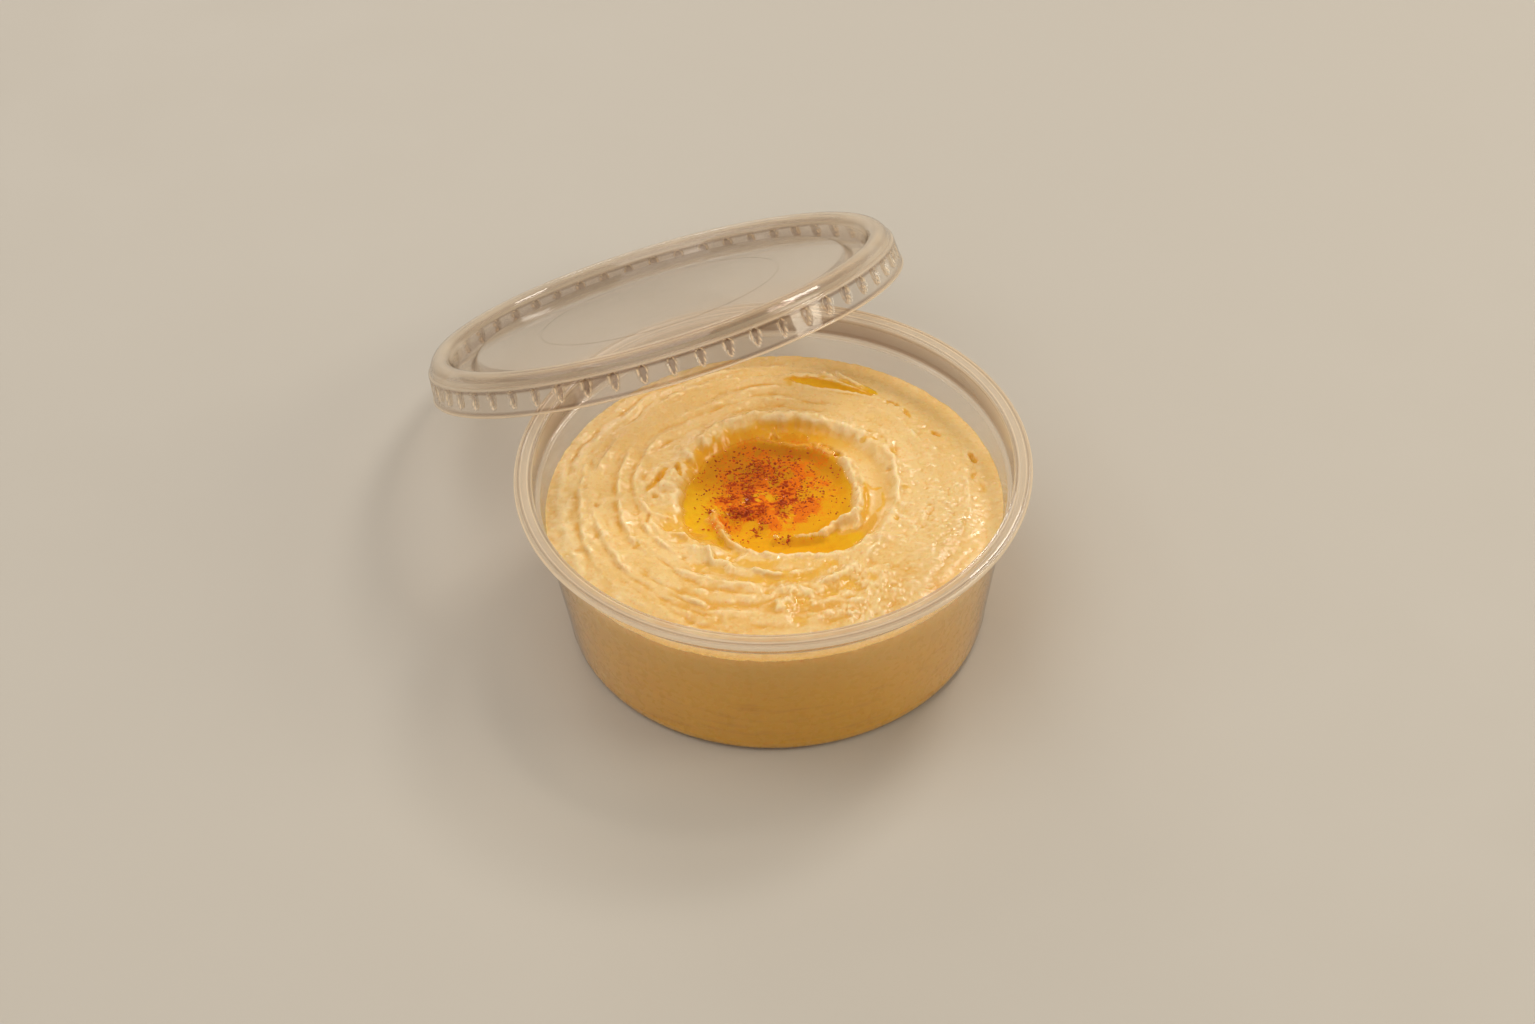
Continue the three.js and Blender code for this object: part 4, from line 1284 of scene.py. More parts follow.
    def film(self, x: Array, y: Array, z: Array, low: Array) -> Array:
        """Share of the surface's look that is a film of oil.

        It is the most of the crept oil and of all wet patches, whose edges follow the low places.

        Args:
            x: Places across.
            y: Places front to back.
            z: Heights there.
            low: How far each place lies below those round it.

        Returns:
            The shares, 0 to 1.
        """
        total = self.creep(x, y, z)
        ragged = 0.7 * cloud(x / 1.8, y / 1.8, 131, 3) - np.clip(2.2 * low, -0.9, 0.7)
        for wet in WET_PATCHES:
            near = near_path(x, y, np.array(wet.points), 3.5 * wet.width)
            if near.any():
                side, share, _ = nearest_on_path(x[near], y[near], smooth_path(wet.points, 4))
                tip = 0.35 * (1 - ease(0.0, 0.3, share) * ease(0.0, 0.3, 1 - share))
                away = np.abs(side) / wet.width + ragged[near] + tip
                total[near] = np.maximum(total[near], wet.strength * (1 - ease(0.1, 1.7, away)))
        return total

    def stain(self, x: Array, y: Array) -> tuple[Array, Array]:
        """How far paprika has coloured the oil, and where it lies thick.

        Args:
            x: Places across.
            y: Places front to back.

        Returns:
            The orange tint and the darker cloud, each from 0 to 1.
        """
        wide = patch(x, y, (0.5, 9.5, 13.5, 14.5), 1.8)
        near = patch(x, y, (-1.5, 2.5, 10.5, 10.5), 1.6)
        ridge = patch(x, y, (-12.6, -6, 2.0, 5))
        billow = cloud(x / 3.0, y / 3.0, 141, 4) + 0.35 * cloud(x / 0.9, y / 0.9, 147, 2)
        tint = wide * (0.36 + 0.8 * billow) + near * (0.46 + 1.0 * billow) + ridge * (0.3 + billow)
        grainy = 0.35 * billow + 1.1 * cloud(x / 1.0, y / 0.8, 145, 3)
        thick = strongest(x, y, PAPRIKA_CLUMPS, 0.9) * (0.62 + 1.2 * grainy)
        thick = np.clip(thick + near * np.maximum(grainy - 0.12, 0) * 1.1, 0, 1)
        return np.clip(tint, 0, 1), thick


# x, y, radius and height of small humps of the oil's face
OIL_HUMPS = (
    (-5.7, 1.3, 0.7, 0.26), (-6.5, 0.3, 0.6, 0.2), (-1.1, 8.0, 0.7, 0.24), (2.7, 1.9, 0.7, 0.24),
    (-10.3, -3.4, 0.6, 0.2), (-16.2, 13.0, 0.6, 0.2), (4.0, -5.2, 0.6, 0.2), (-3.2, -6.8, 0.6, 0.2),
)

# x, y and spread in x and in y of scattered flakes, their count, and their smallest and largest half-size
DUST_CLOUDS = (
    (-4, 5, 6.2, 6.6, 300, 0.14, 0.32), (-3, 4, 8.5, 8.5, 150, 0.2, 0.38),
    (-4, 13, 5.8, 3.2, 210, 0.18, 0.38), (6, 2, 3.8, 5.0, 80, 0.16, 0.34),
    (8, 10, 3.2, 3.6, 60, 0.16, 0.34), (-15.5, 4, 2.0, 5.0, 30, 0.18, 0.34),
    (12, 2, 4.0, 7.0, 34, 0.18, 0.36), (-2, -13, 5.0, 1.6, 22, 0.18, 0.32),
)


@dataclass
class HummusFill:
    """The hummus: its spooned top on a grid drawn from a square, and its side, just into the wall."""

    surface: SpoonedSurface
    finish: HummusPaste = field(default_factory=HummusPaste)
    steps: int = 300
    crowding: float = 0.2
    base_inner: float = 47.7
    step_inner: float = 52.85
    step_height: float = 36.9
    bottom: float = 0.75
    into_wall: float = 0.2
    side_rings: int = 8
    side_extra: tuple[float, float] = (0.012, 0.985)
    split_oval: tuple[float, float] = (11.5, 2.8)

    def wall(self, z: Array) -> Array:
        """Radius of the hummus's side at a height: the tub's inner face and a little more."""
        return mix(self.base_inner, self.step_inner, z / self.step_height) + self.into_wall

    def top(self) -> tuple[Array, Array]:
        """Places of the top's grid, which is a square's grid drawn into rings.

        A square's point (u, v) goes to the ring max(|u|, |v|) at the angle of its place on the square's
        side, and rings lie closer together in the middle.

        Returns:
            x and y of each vertex.
        """
        line = np.linspace(-1, 1, self.steps)
        u, v = np.meshgrid(line, line)
        across = np.abs(u) > np.abs(v)
        ring = np.where(across, u, v)
        safe = np.where(np.abs(ring) < 1e-9, 1, ring)
        angle = np.where(across, np.pi / 4 * v / safe, np.pi / 2 - np.pi / 4 * u / safe)
        angle = angle + np.where(ring < 0, np.pi, 0)
        ring = np.abs(ring)
        radius = self.surface.wall_radius * ((1 - self.crowding) * ring + self.crowding * ring**2)
        inward = 1 - radius / self.surface.wall_radius
        x = radius * np.cos(angle) + self.surface.swirl_x * inward
        y = radius * np.sin(angle) + self.surface.swirl_y * inward
        return x.ravel(), y.ravel()

    def build(self) -> bpy.types.Object:
        """Makes the hummus.

        The side goes down from the top's border ring by ring, each ring at the wall's radius for its height,
        and the bottom closes with a fan.

        Returns:
            The piece.
        """
        n = self.steps
        x, y = self.top()
        z = self.surface.height(x, y)
        number = np.arange(n * n).reshape(n, n)
        border = np.concatenate([number[0, :-1], number[:-1, -1], number[-1, :0:-1], number[:0:-1, 0]])
        angle = np.arctan2(y[border], x[border])
        share = np.sort(np.append(np.linspace(0, 1, self.side_rings - 1)[1:], self.side_extra))[:, None]
        side_z = mix(z[border][None, :], self.bottom, share)
        side_r = self.wall(side_z)
        side = np.stack([side_r * np.cos(angle), side_r * np.sin(angle), side_z], -1).reshape(-1, 3)
        vertices = np.vstack([np.stack([x, y, z], -1), side, [[0, 0, self.bottom]]])
        m = len(border)
        rings = np.vstack([border, n * n + np.arange(self.side_rings * m).reshape(-1, m)])
        walls = [np.stack([a, np.roll(a, -1), np.roll(b, -1), b], -1) for a, b in zip(rings[:-1], rings[1:])]
        faces = np.vstack([grid_faces(n, n), *walls, fan_faces(rings[-1], len(vertices) - 1)])
        fields = self.fields(x, y, z, len(vertices), border, share)
        finish = self.finish.material()
        return make_piece("hummus_fill", vertices, faces, finish, ["hummus"], fields)

    def relief(self, x: Array, y: Array, z: Array) -> tuple[Array, Array, Array]:
        """How each place lies against its surroundings, from heights smoothed over about 1, 3 and 6 mm.

        Low and steep places are painted darker and more golden, a painted shade for the shade in them and the
        light that goes round there; that is the second number, less at the banks left and right of the well,
        with more painted shade under the lumps at the front. High places are painted paler, a painted
        highlight; that is the crest number, which also holds painted light on the band along the wall at the
        left, in the rim's shadow.

        Args:
            x: Places across.
            y: Places front to back.
            z: Heights there.

        Returns:
            How far each place lies below its neighbours, the painted shade number and the painted highlight
            number.
        """
        n, surface = self.steps, self.surface
        grid = z.reshape(n, n)
        near, wide, broad = soften(grid, 14), soften(grid, 90), soften(grid, 420)
        low = (near - grid).ravel()
        points = np.stack([x, y, near.ravel()], -1).reshape(n, n, 3)
        normal = np.cross(np.gradient(points, axis=1), np.gradient(points, axis=0))
        steep = 1 - np.abs(normal[..., 2]) / np.maximum(np.linalg.norm(normal, axis=-1), 1e-9)
        out = np.hypot(x, y)
        inner = ease(surface.wall_radius, surface.wall_radius - 8, out)
        banks = ease(12, 20, np.abs(x)) * ease(33, 29, out)
        # painted shade in low and steep places
        valley = (0.5 * (wide - grid) + 0.2 * (broad - grid) + 0.9 * steep) * (1 - 0.35 * banks.reshape(n, n))
        # painted shade at the front, under its lumps
        golden = 0.36 * ease(-16, -32, y) * (1 + 1.2 * cloud(x / 5, y / 5, 251, 2))
        grit = surface.roughness_zone(x, y)
        painted_crevice_shade = np.clip((1.7 + 1.1 * grit) * low + inner * (valley.ravel() + golden) - 0.03, 0, 0.8)
        # painted light on the band along the wall at the left, which lies in the rim's shadow
        painted_left_band_light = 0.5 * ease(43, 47, out) * ease(0, -25, x)
        return low, painted_crevice_shade, np.clip(-(2.3 + 1.5 * grit) * low - 0.08 + painted_left_band_light, 0, 0.75)

    def fields(
        self, x: Array, y: Array, z: Array, count: int, border: Array, share: Array
    ) -> dict[str, Array]:
        """Numbers for the material, at each vertex.

        They say where oil lies on the paste or wets it and what paprika stains. They also hold painted shade
        in low and steep places and in the oil at the back of the pool, painted highlights on high places, and
        the paste against the wall, partly wet paste and partly painted shade.

        Args:
            x: Places of the top across.
            y: Places of the top front to back.
            z: Heights of the top.
            count: How many vertices the whole mesh has.
            border: The numbers of the top's outermost vertices.
            share: How far down the side each of its rings lies, 0 to 1.

        Returns:
            The numbers by their names.
        """
        surface = self.surface
        low, painted_crevice_shade, crest = self.relief(x, y, z)
        well, boat = surface.in_well(x, y), surface.in_split(x, y, *self.split_oval)
        depth = np.maximum(surface.oil_level - z, 0) * well
        split_wet = ease(0.0, 0.5, surface.split_level + 0.15 - z) * boat
        tint, thick = surface.stain(x, y)
        under = ease(-0.5, 0.25, surface.oil_level + 0.3 - z) * well
        film = np.maximum(surface.film(x, y, z, low), 0.55 * split_wet)
        # painted shade of the oil, darker towards the back of the pool
        back_pool_shade = 0.6 * ease(2, 16, y) * np.maximum(ease(0.0, 0.5, depth), 0.2 * film) * well
        front = surface.front(y)
        values = {
            "oil_depth": np.maximum(depth, np.maximum(surface.split_level + 0.05 - z, 0) * boat),
            "film": film,
            "stain": tint * np.maximum(under, 0.65 * film),
            "clump": thick * under,
            # painted shade in low and steep places
            "painted_crevice_shade": painted_crevice_shade,
            # painted highlight on high places, and painted light on the band along the wall at the left
            "crest": crest,
            # painted shade of the oil at the back of the pool and in the split
            "painted_oil_shade": np.maximum(back_pool_shade, 0.2 * split_wet),
            # the paste against the wall: partly wet paste, partly painted shade under the rim at the front
            "side": (0.08 + 0.67 * front) * ease(0.9 + 2.6 * front, 0, surface.wall_radius - np.hypot(x, y)),
        }
        out = {label: np.concatenate([v, np.zeros(count - len(x))]) for label, v in values.items()}
        down = np.repeat(share.ravel(), len(border))
        # painted shade down the side, darker towards the bottom
        out["side"][len(x) : len(x) + len(down)] = mix(0.6, 1.0, ease(0, 0.6, down))
        out["side"][border] = 0.15 + 0.45 * front[border]
        return out


@dataclass
class OilPool:
    """Oil that lies level in a hollow, with a meniscus where it climbs the hummus.

    Its underside runs just inside the hummus, so no air shows between them. With bound, it stays in an oval
    about the split.
    """

    name: str
    surface: SpoonedSurface
    level: float
    box: tuple[float, float, float, float]
    seed_point: tuple[float, float]
    slot_nodes: tuple[str, ...] = ()
    step: float = 0.3
    climb: float = 0.14
    climb_fade: float = 0.35
    beyond: float = 0.25
    bound: Optional[tuple[float, float]] = None

    def build(self, material: bpy.types.Material) -> bpy.types.Object:
        """Makes the pool from the cells of a square grid that the oil covers, joined to the seed point.

        The face and the underside have the same cells, and a band joins them where a cell has no neighbour.

        Args:
            material: The oil's material.

        Returns:
            The piece.
        """
        x0, x1, y0, y1 = self.box
        x, y = np.meshgrid(np.arange(x0, x1, self.step), np.arange(y0, y1, self.step))
        ground = self.surface.height(x.ravel(), y.ravel()).reshape(x.shape)
        depth = self.level - ground
        meniscus = self.climb * np.exp(-np.maximum(depth, -0.3) / self.climb_fade)
        face = np.maximum(self.level + self.swell(x, y) + meniscus, self.level)
        low = np.minimum(ground - self.beyond, face - 0.05)
        wet = depth > -(self.climb + self.beyond)
        if self.bound:
            wet &= self.surface.in_split(x, y, *self.bound)
        cells = wet[:-1, :-1] & wet[1:, :-1] & wet[:-1, 1:] & wet[1:, 1:]
        row, column = (int((self.seed_point[i] - self.box[2 * i]) / self.step) for i in (1, 0))
        kept = self.joined(cells, row, column)
        offset = x.size
        quads = grid_faces(*x.shape).reshape(*cells.shape, 4)
        framed = np.pad(kept, 1)
        faces = [quads[kept], quads[kept][:, ::-1] + offset]
        for start, end, down, right in ((0, 1, -1, 0), (1, 2, 0, 1), (2, 3, 1, 0), (3, 0, 0, -1)):
            neighbour = framed[1 + down : 1 + down + kept.shape[0], 1 + right : 1 + right + kept.shape[1]]
            edge = quads[kept & ~neighbour]
            a, b = edge[:, start], edge[:, end]
            faces.append(np.stack([b, a, a + offset, b + offset], -1))
        used, inverse = np.unique(np.vstack(faces), return_inverse=True)
        vertices = np.vstack([np.stack([x, y, z], -1).reshape(-1, 3) for z in (face, low)])[used]
        return make_piece(self.name, vertices, inverse.reshape(-1, 4), material, self.slot_nodes)

    def swell(self, x: Array, y: Array) -> Array:
        """Small humps of the oil's face, each a bell, where it climbs a clump of paprika or a bubble.

        Args:
            x: Places across.
            y: Places front to back.

        Returns:
            The height they add.
        """
        total = np.zeros_like(x)
        for cx, cy, reach, rise in OIL_HUMPS:
            total = np.maximum(total, rise * np.exp(-((x - cx) ** 2 + (y - cy) ** 2) / reach**2))
        return total

    def joined(self, cells: Array, row: int, column: int) -> Array:
        """Grows from one cell to all wet cells that touch it, one ring of neighbours at a time.

        Args:
            cells: True where a cell is wet.
            row: Row of the first cell.
            column: Column of the first cell.

        Returns:
            True at the cells that are joined to the first.
        """
        kept = np.zeros_like(cells)
        kept[row, column] = True
        while True:
            grown = kept.copy()
            grown[1:] |= kept[:-1]
            grown[:-1] |= kept[1:]
            grown[:, 1:] |= kept[:, :-1]
            grown[:, :-1] |= kept[:, 1:]
            grown &= cells
            if (grown == kept).all():
                return kept
            kept = grown


@dataclass
class PaprikaDust:
    """Ground paprika on and just under the oil's face: flakes of 0.2 to 0.9 mm, thick in the clumps."""

    level: float
    finish: PaprikaFlakes = field(default_factory=PaprikaFlakes)
    seed: int = 7
    per_area: float = 16.0
    clump_sizes: tuple[float, float] = (0.16, 0.42)
    least_depth: float = 0.08
    most_sink: float = 0.8
    sunk_share: float = 0.45
    shake: float = 0.3
    flatness: float = 0.28
    tip_spread: float = 0.2

    def places(self, random: np.random.Generator) -> tuple[Array, Array]:
        """Draws the flakes' places: some packed in the clumps, some in the clouds round them, a few far out.

        Args:
            random: Where the draws come from.

        Returns:
            x and y of each flake, and its half-size.
        """
        rows = [
            (cx, cy, rx * 0.5, ry * 0.5, int(self.per_area * rx * ry * strength**2 + 6), *self.clump_sizes)
            for cx, cy, rx, ry, strength in PAPRIKA_CLUMPS
        ]
        spots, sizes = [], []
        for cx, cy, spread_x, spread_y, count, low, high in (*rows, *DUST_CLOUDS):
            spots.append(random.normal((cx, cy), (spread_x, spread_y), (count, 2)))
            sizes.append(random.uniform(low, high, count))
        return np.vstack(spots), np.concatenate(sizes)

    def build(self, surface: SpoonedSurface) -> bpy.types.Object:
        """Makes all flakes as one mesh: each is a squashed icosahedron with shaken corners, turned at random.

        Flakes that would lie where there is no oil are left out, and about half of the others have sunk.

        Args:
            surface: The hummus's surface.

        Returns:
            The piece.
        """
        random = np.random.default_rng(self.seed)
        spots, sizes = self.places(random)
        x, y = spots.T
        ground = surface.height(x, y, False)
        floating = ground < self.level - self.least_depth
        x, y, sizes, ground = x[floating], y[floating], sizes[floating], ground[floating]
        n = len(x)
        sink = random.uniform(0.0, 1.0, n) ** 2 * np.minimum(self.level - ground, self.most_sink)
        z = self.level - 0.02 - sink * (random.uniform(0, 1, n) < self.sunk_share)
        base, triangles = icosahedron()
        corners = base[None] * (1 + random.uniform(-self.shake, self.shake, (n, len(base), 1)))
        length, breadth = sizes * random.uniform(0.7, 1.4, n), sizes * random.uniform(0.5, 0.9, n)
        corners = corners * np.stack([length, breadth, sizes * self.flatness], -1)[:, None, :]
        turn, tip = random.uniform(0, 2 * np.pi, n)[:, None], random.normal(0, self.tip_spread, n)[:, None]
        cx, cy, cz = corners[..., 0], corners[..., 1], corners[..., 2]
        cx, cz = cx * np.cos(tip) - cz * np.sin(tip), cx * np.sin(tip) + cz * np.cos(tip)
        cx, cy = cx * np.cos(turn) - cy * np.sin(turn), cx * np.sin(turn) + cy * np.cos(turn)
        vertices = np.stack([cx + x[:, None], cy + y[:, None], cz + z[:, None]], -1).reshape(-1, 3)
        faces = (triangles[None] + len(base) * np.arange(n)[:, None, None]).reshape(-1, 3)
        faces = np.hstack([faces, faces[:, 2:]])
        dark = np.clip(random.uniform(0, 1, n) + 0.25 * (sizes > 0.3), 0, 1)
        fields = {"dark": np.repeat(dark, len(base))}
        return make_piece("paprika_dust", vertices, faces, self.finish.material(), (), fields)


# ------------------------------------------------------------------ tub and lid


def polar(vertices: Array) -> tuple[Array, Array, Array]:
    """Radius, angle and height of each vertex about the upright axis."""
    x, y, z = vertices.T
    return np.hypot(x, y), np.arctan2(y, x), z


def drawn(radius: Array, angle: Array, waves: float, round_it: float, along: float, seed: int) -> Array:
    """Unevenness of sheet that was drawn over a mould: slow round the piece, quick from ring to ring.

    Args:
        radius: Radius of each vertex.
        angle: Its angle.
        waves: How often the slow part changes round the piece.
        round_it: Strength of the slow part.
        along: Strength of the quick part.
        seed: Seed of the slow part; the quick part takes the next.

    Returns:
        The factor, about 1.
    """
    slow = lattice(waves * np.cos(angle), waves * np.sin(angle), seed)
    return 1 + round_it * slow + along * lattice(radius / 0.9, 2 * np.cos(angle), seed + 1)


@dataclass
class DeliTub:
    """The clear tub: a turned wall of even thickness with a step under the rim and a broad rolled rim."""

    finish: ClearPlastic
    rim_radius: float = 58.5
    height: float = 43.0
    wall: float = 0.7
    base_radius: float = 48.4
    base_thickness: float = 0.9
    rim_inner: float = 54.3
    rim_drop: float = 1.4
    step_height: float = 36.9
    step_inner: float = 52.85
    step_width: float = 1.25
    sides: int = 360

    def profile(self) -> Array:
        """The section of the tub.

        Returns:
            Its points from the axis up the outside, over the rim and down the inside to the axis.
        """
        rim, top, neck, foot = self.rim_radius, self.height, self.rim_inner, self.base_radius
        step, step_in, floor = self.step_height, self.step_inner, self.base_thickness
        step_out, upper = step_in + self.wall, step_in + self.step_width
        lip = top - self.rim_drop
        base_inner = foot - self.wall

        def inner(z: float) -> float:
            """Radius of the inner face at a height below the step."""
            return base_inner + (step_in - base_inner) * z / step

        return rounded(
            (
                (0, 0, 0), (foot - 3.4, 0, 0.2), (foot - 3.0, 0.12, 0.2), (foot - 0.9, 0.12, 0.4),
                (foot, 1.0, 0.8),
                (inner(3.0) + self.wall, 3.0, 0.3), (inner(3.4) + self.wall - 0.1, 3.4, 0.3),
                (step_out, step - 0.5, 0.4), (upper + 0.4, step - 0.1, 0.4),
                (upper + self.wall, step + 0.7, 0.5), (neck + self.wall, lip - 0.5, 0.4),
                (neck + 1.4, lip + 0.25, 0.5), (rim - 0.7, lip + 0.1, 0.3), (rim - 0.5, lip, 0.3),
                (rim, lip + 0.1, 0.25), (rim, top - 0.5, 0.5), (rim - 0.5, top, 0.5),
                (rim - 1.0, top - 0.22, 0.2), (rim - 1.5, top - 0.1, 0.5), (rim - 2.4, top, 1.0),
                (neck + 1.0, top - 0.1, 0.5), (neck + 0.7, top - 0.22, 0.2), (neck + 0.3, top - 0.06, 0.4),
                (neck, top - 0.7, 0.5), (upper, step + 0.5, 0.5), (upper - 0.35, step + 0.1, 0.3),
                (step_in + 0.15, step - 0.05, 0.3), (step_in, step - 0.6, 0.4),
                (inner(floor + 0.9), floor + 0.9, 0.8), (base_inner - 0.9, floor, 0.8), (0, floor, 0),
            )
        )

    def build(self) -> bpy.types.Object:
        """Turns the section into the tub, milky on the rim with painted highlights, painted dark where it
        bends.

        Returns:
            The piece.
        """
        vertices, faces = turned(self.profile(), np.linspace(0, 2 * np.pi, self.sides, endpoint=False))
        radius, angle, height = polar(vertices)
        rim, top, neck, step = self.rim_radius, self.height, self.rim_inner, self.step_height
        lip = top - self.rim_drop
        on_rim, within = ease(top - 2.5, top - 1.5, height), radius < neck + 1
        grooves = (bell(radius, rim - 1.0, 0.2) + bell(radius, neck + 0.7, 0.2)) * on_rim
        # milky rim, partly painted highlights on its outer edge, its lines and the step
        milk_and_highlight = 0.24 * drawn(radius, angle, 5, 0.25, 0.15, 221) * ease(neck - 0.4, neck + 0.6, radius) * on_rim
        milk_and_highlight *= 1 - 0.5 * grooves
        milk_and_highlight += 0.6 * ease(rim - 0.5, rim - 0.1, radius)
        milk_and_highlight += 0.3 * bell(radius, neck, 0.25) * (height > top - 0.6)
        for line in (neck + 1.15, rim - 1.5):
            milk_and_highlight += 0.35 * bell(radius, line, 0.15) * (height > top - 0.4)
        milk_and_highlight += 0.1 * ease(step - 0.5, step + 1, height) + 0.45 * bell(height, step, 0.3)
        milk_and_highlight += 0.2 * bell(height, lip, 0.3) * within
        # painted dark lines where the sheet bends: the rim's grooves, the step, the lip and the band above
        # the step
        painted_bend_dark = 0.45 * grooves + 0.6 * bell(height, step + 0.75, 0.35)
        painted_bend_dark += 0.5 * bell(height, lip - 0.6, 0.5) * within
        painted_bend_dark += 0.22 * ease(step, step + 1.4, height) * (height < lip)
        fields = {"milk_and_highlight": milk_and_highlight, "painted_bend_dark": painted_bend_dark}
        return make_piece("tub_wall", vertices, faces, self.finish.material(), ["tub"], fields)


@dataclass
class LeaningLid:
    """The clear lid: skirt with pressed lugs, shoulder, bead, sunk ring and raised panel."""

    finish: ClearPlastic
    skirt_radius: float = 59.93
    foot_radius: float = 60.0
    sheet: float = 0.6
    height: float = 9.9
    bead_outer: float = 58.2
    bead_inner: float = 52.8
    shoulder: float = 6.6
    gutter_radius: float = 52.2
    gutter_floor: float = 4.7
    gutter_width: float = 4.0
    panel_top: float = 7.0
    panel_radius: float = 46.8
    lean: float = 28.96
    heading: float = 120.1
    sideways: float = -12.7
    outward: float = 70.5
    foot_clearance: float = 0.05
    lugs: int = 54
    lug_top: float = 6.2
    lug_bottom: float = 1.8
    lug_half_width: float = 1.45
    lug_press: float = 0.75
    steps_per_lug: int = 16
    crowding: float = 0.6
    skirt_rows: int = 18

    def profile(self) -> Array:
        """The section of the lid.

        Returns:
            Its points from the axis out over the bead, down the skirt and back along the underside.
        """
        s, top, shoulder, skirt = self.sheet, self.height, self.shoulder, self.skirt_radius
        bead_in, bead_out = self.bead_inner, self.bead_outer
        panel, edge = self.panel_top, self.panel_radius
        floor, gutter_out = self.gutter_floor, self.gutter_radius
        gutter_in = gutter_out - self.gutter_width
        outside = (
            (0, panel, 0), (30.0, panel, 0.5), (30.4, panel - 0.12, 0.5), (edge, panel - 0.12, 0.8),
            (gutter_in, floor, 0.8), (gutter_out - 0.4, floor, 0.7), (bead_in, top - 2.0, 0.9),
            (bead_in + 1.0, top - 0.5, 1.0), (bead_in + 2.7, top + 0.12, 1.6),
            (bead_out - 1.0, top - 0.5, 1.0), (bead_out, top - 2.0, 0.9),
            (bead_out + 0.15, shoulder + 0.3, 0.4), (skirt - 0.8, shoulder - 0.1, 0.4),
        )
        down = np.linspace(0.06, 0.94, self.skirt_rows)
        skirt_out = [(skirt - 0.8 + 0.55 * t, shoulder * (1 - t) - 0.1, 0) for t in down]
        foot = (
            (skirt - 0.25, 0.35, 0.2), (skirt, 0.3, 0.15), (skirt, 0.0, 0.15), (skirt - s - 0.1, 0.0, 0.15),
        )
        skirt_in = [(r - s, z, 0) for r, z, _ in reversed(skirt_out)]
        under = (
            (skirt - 0.8 - s, shoulder - 0.6, 0.4), (bead_out - s, shoulder - 0.2, 0.4),
            (bead_out - s, top - 2.2, 0.7), (bead_out - 1.4, top - 0.5 - s, 0.8),
            (bead_in + 2.7, top - s, 1.4), (bead_in + 1.4, top - 0.5 - s, 0.8), (bead_in + s, top - 2.2, 0.6),
            (gutter_out + 0.1, floor - s, 0.8), (gutter_in + 0.3, floor - s, 0.8),
            (edge + 0.3, panel - s - 0.12, 0.8), (0, panel - s - 0.12, 0),
        )
        return rounded([*outside, *skirt_out, *foot, *skirt_in, *under], 3)

    def lug_shape(self, vertices: Array) -> Array:
        """How far each vertex lies in a lug, from 0 on the skirt to 1 on the lug's flat floor.

        A lug is a long drop, blunt above and narrower below. Its half-width at height share t goes with t to
        the power 0.38 and ends in a quarter circle at its top.

        Args:
            vertices: Places in the lid's own frame, upright and centred.

        Returns:
            The share of each vertex.
        """
        r, angle, z = polar(vertices)
        pitch = 2 * np.pi / self.lugs
        number = np.round(angle / pitch - 0.5)
        vary = lattice(number * 0.73 + 50, number * 0, 161)
        across = (angle - (number + 0.5) * pitch) * self.skirt_radius + 0.12 * vary
        t = (z - self.lug_bottom - 0.25 * vary) / (self.lug_top - self.lug_bottom)
        blunt = np.sqrt(np.clip(1.0 - np.clip((t - 0.62) / 0.38, 0, 1) ** 2, 0, 1))
        half = self.lug_half_width * (1 + 0.15 * vary) * np.clip(t, 0, 1) ** 0.38 * blunt
        on_skirt = (z < self.shoulder - 0.15) & (r > self.bead_outer - 0.8)
        return ease(0, 0.5, half - np.abs(across)) * on_skirt

    def press_lugs(self, vertices: Array) -> Array:
        """Presses the lugs into the skirt: both faces of the sheet move in together by the lug's depth.

        Args:
            vertices: Places in the lid's own frame, upright and centred.

        Returns:
            The new places.
        """
        r = polar(vertices)[0]
        scale = (r - self.lug_press * self.lug_shape(vertices)) / np.maximum(r, 1e-6)
        return vertices * np.stack([scale, scale, np.ones_like(scale)], -1)

    def place(self, vertices: Array) -> Array:
        """Leans the lid and sets it down.

        It is a turn about Y by the lean, a move outwards and up, and a turn about Z to the heading.

        Args:
            vertices: Places in the lid's own frame, upright and centred.

        Returns:
            The places in the model's frame.
        """
        rise = self.foot_radius * math.sin(math.radians(self.lean)) + self.foot_clearance
        heading = Matrix.Rotation(math.radians(self.heading), 3, "Z")
        turn = heading @ Matrix.Rotation(math.radians(self.lean), 3, "Y")
        shift = heading @ Vector((self.outward, self.sideways, rise))
        return vertices @ np.array(turn).T + np.array(shift)

    def build(self) -> bpy.types.Object:
        """Turns the section, presses the lugs and leans the lid.

        The steps round the lid crowd towards each lug's middle: step s of a pitch, from 0 to 1, lies at s +
        crowding sin(2 pi s) / (2 pi) of it.

        Returns:
            The piece.
        """
        step = np.arange(self.lugs * self.steps_per_lug) / self.steps_per_lug
        step = step + self.crowding * np.sin(2 * np.pi * step) / (2 * np.pi)
        vertices, faces = turned(self.profile(), 2 * np.pi * step / self.lugs)
        radius, angle, height = polar(vertices)
        bead_in, bead_out, shoulder = self.bead_inner, self.bead_outer, self.shoulder
        skirt = radius > bead_out - 0.8
        # milky bead, partly painted highlights on the bead, its edges, the shoulder, the foot and the lugs'
        # outlines
        milk_and_highlight = 0.2 * drawn(radius, angle, 6, 0.3, 0.25, 231) * ease(bead_in - 0.6, bead_in + 0.4, radius)
        milk_and_highlight *= ease(self.height - 2.3, self.height - 0.5, height)
        milk_and_highlight += 0.35 * (bell(radius, bead_in, 0.2) + bell(radius, bead_out, 0.2)) * (height > self.panel_top)
        milk_and_highlight += 0.03 * ease(self.panel_radius, self.panel_radius + 2, radius)
        milk_and_highlight += 0.45 * bell(height, shoulder, 0.3) * skirt + 0.6 * ease(0.6, 0.2, height)
        pressed = self.lug_shape(vertices)
        milk_and_highlight += 1.2 * 4 * pressed * (1 - pressed)
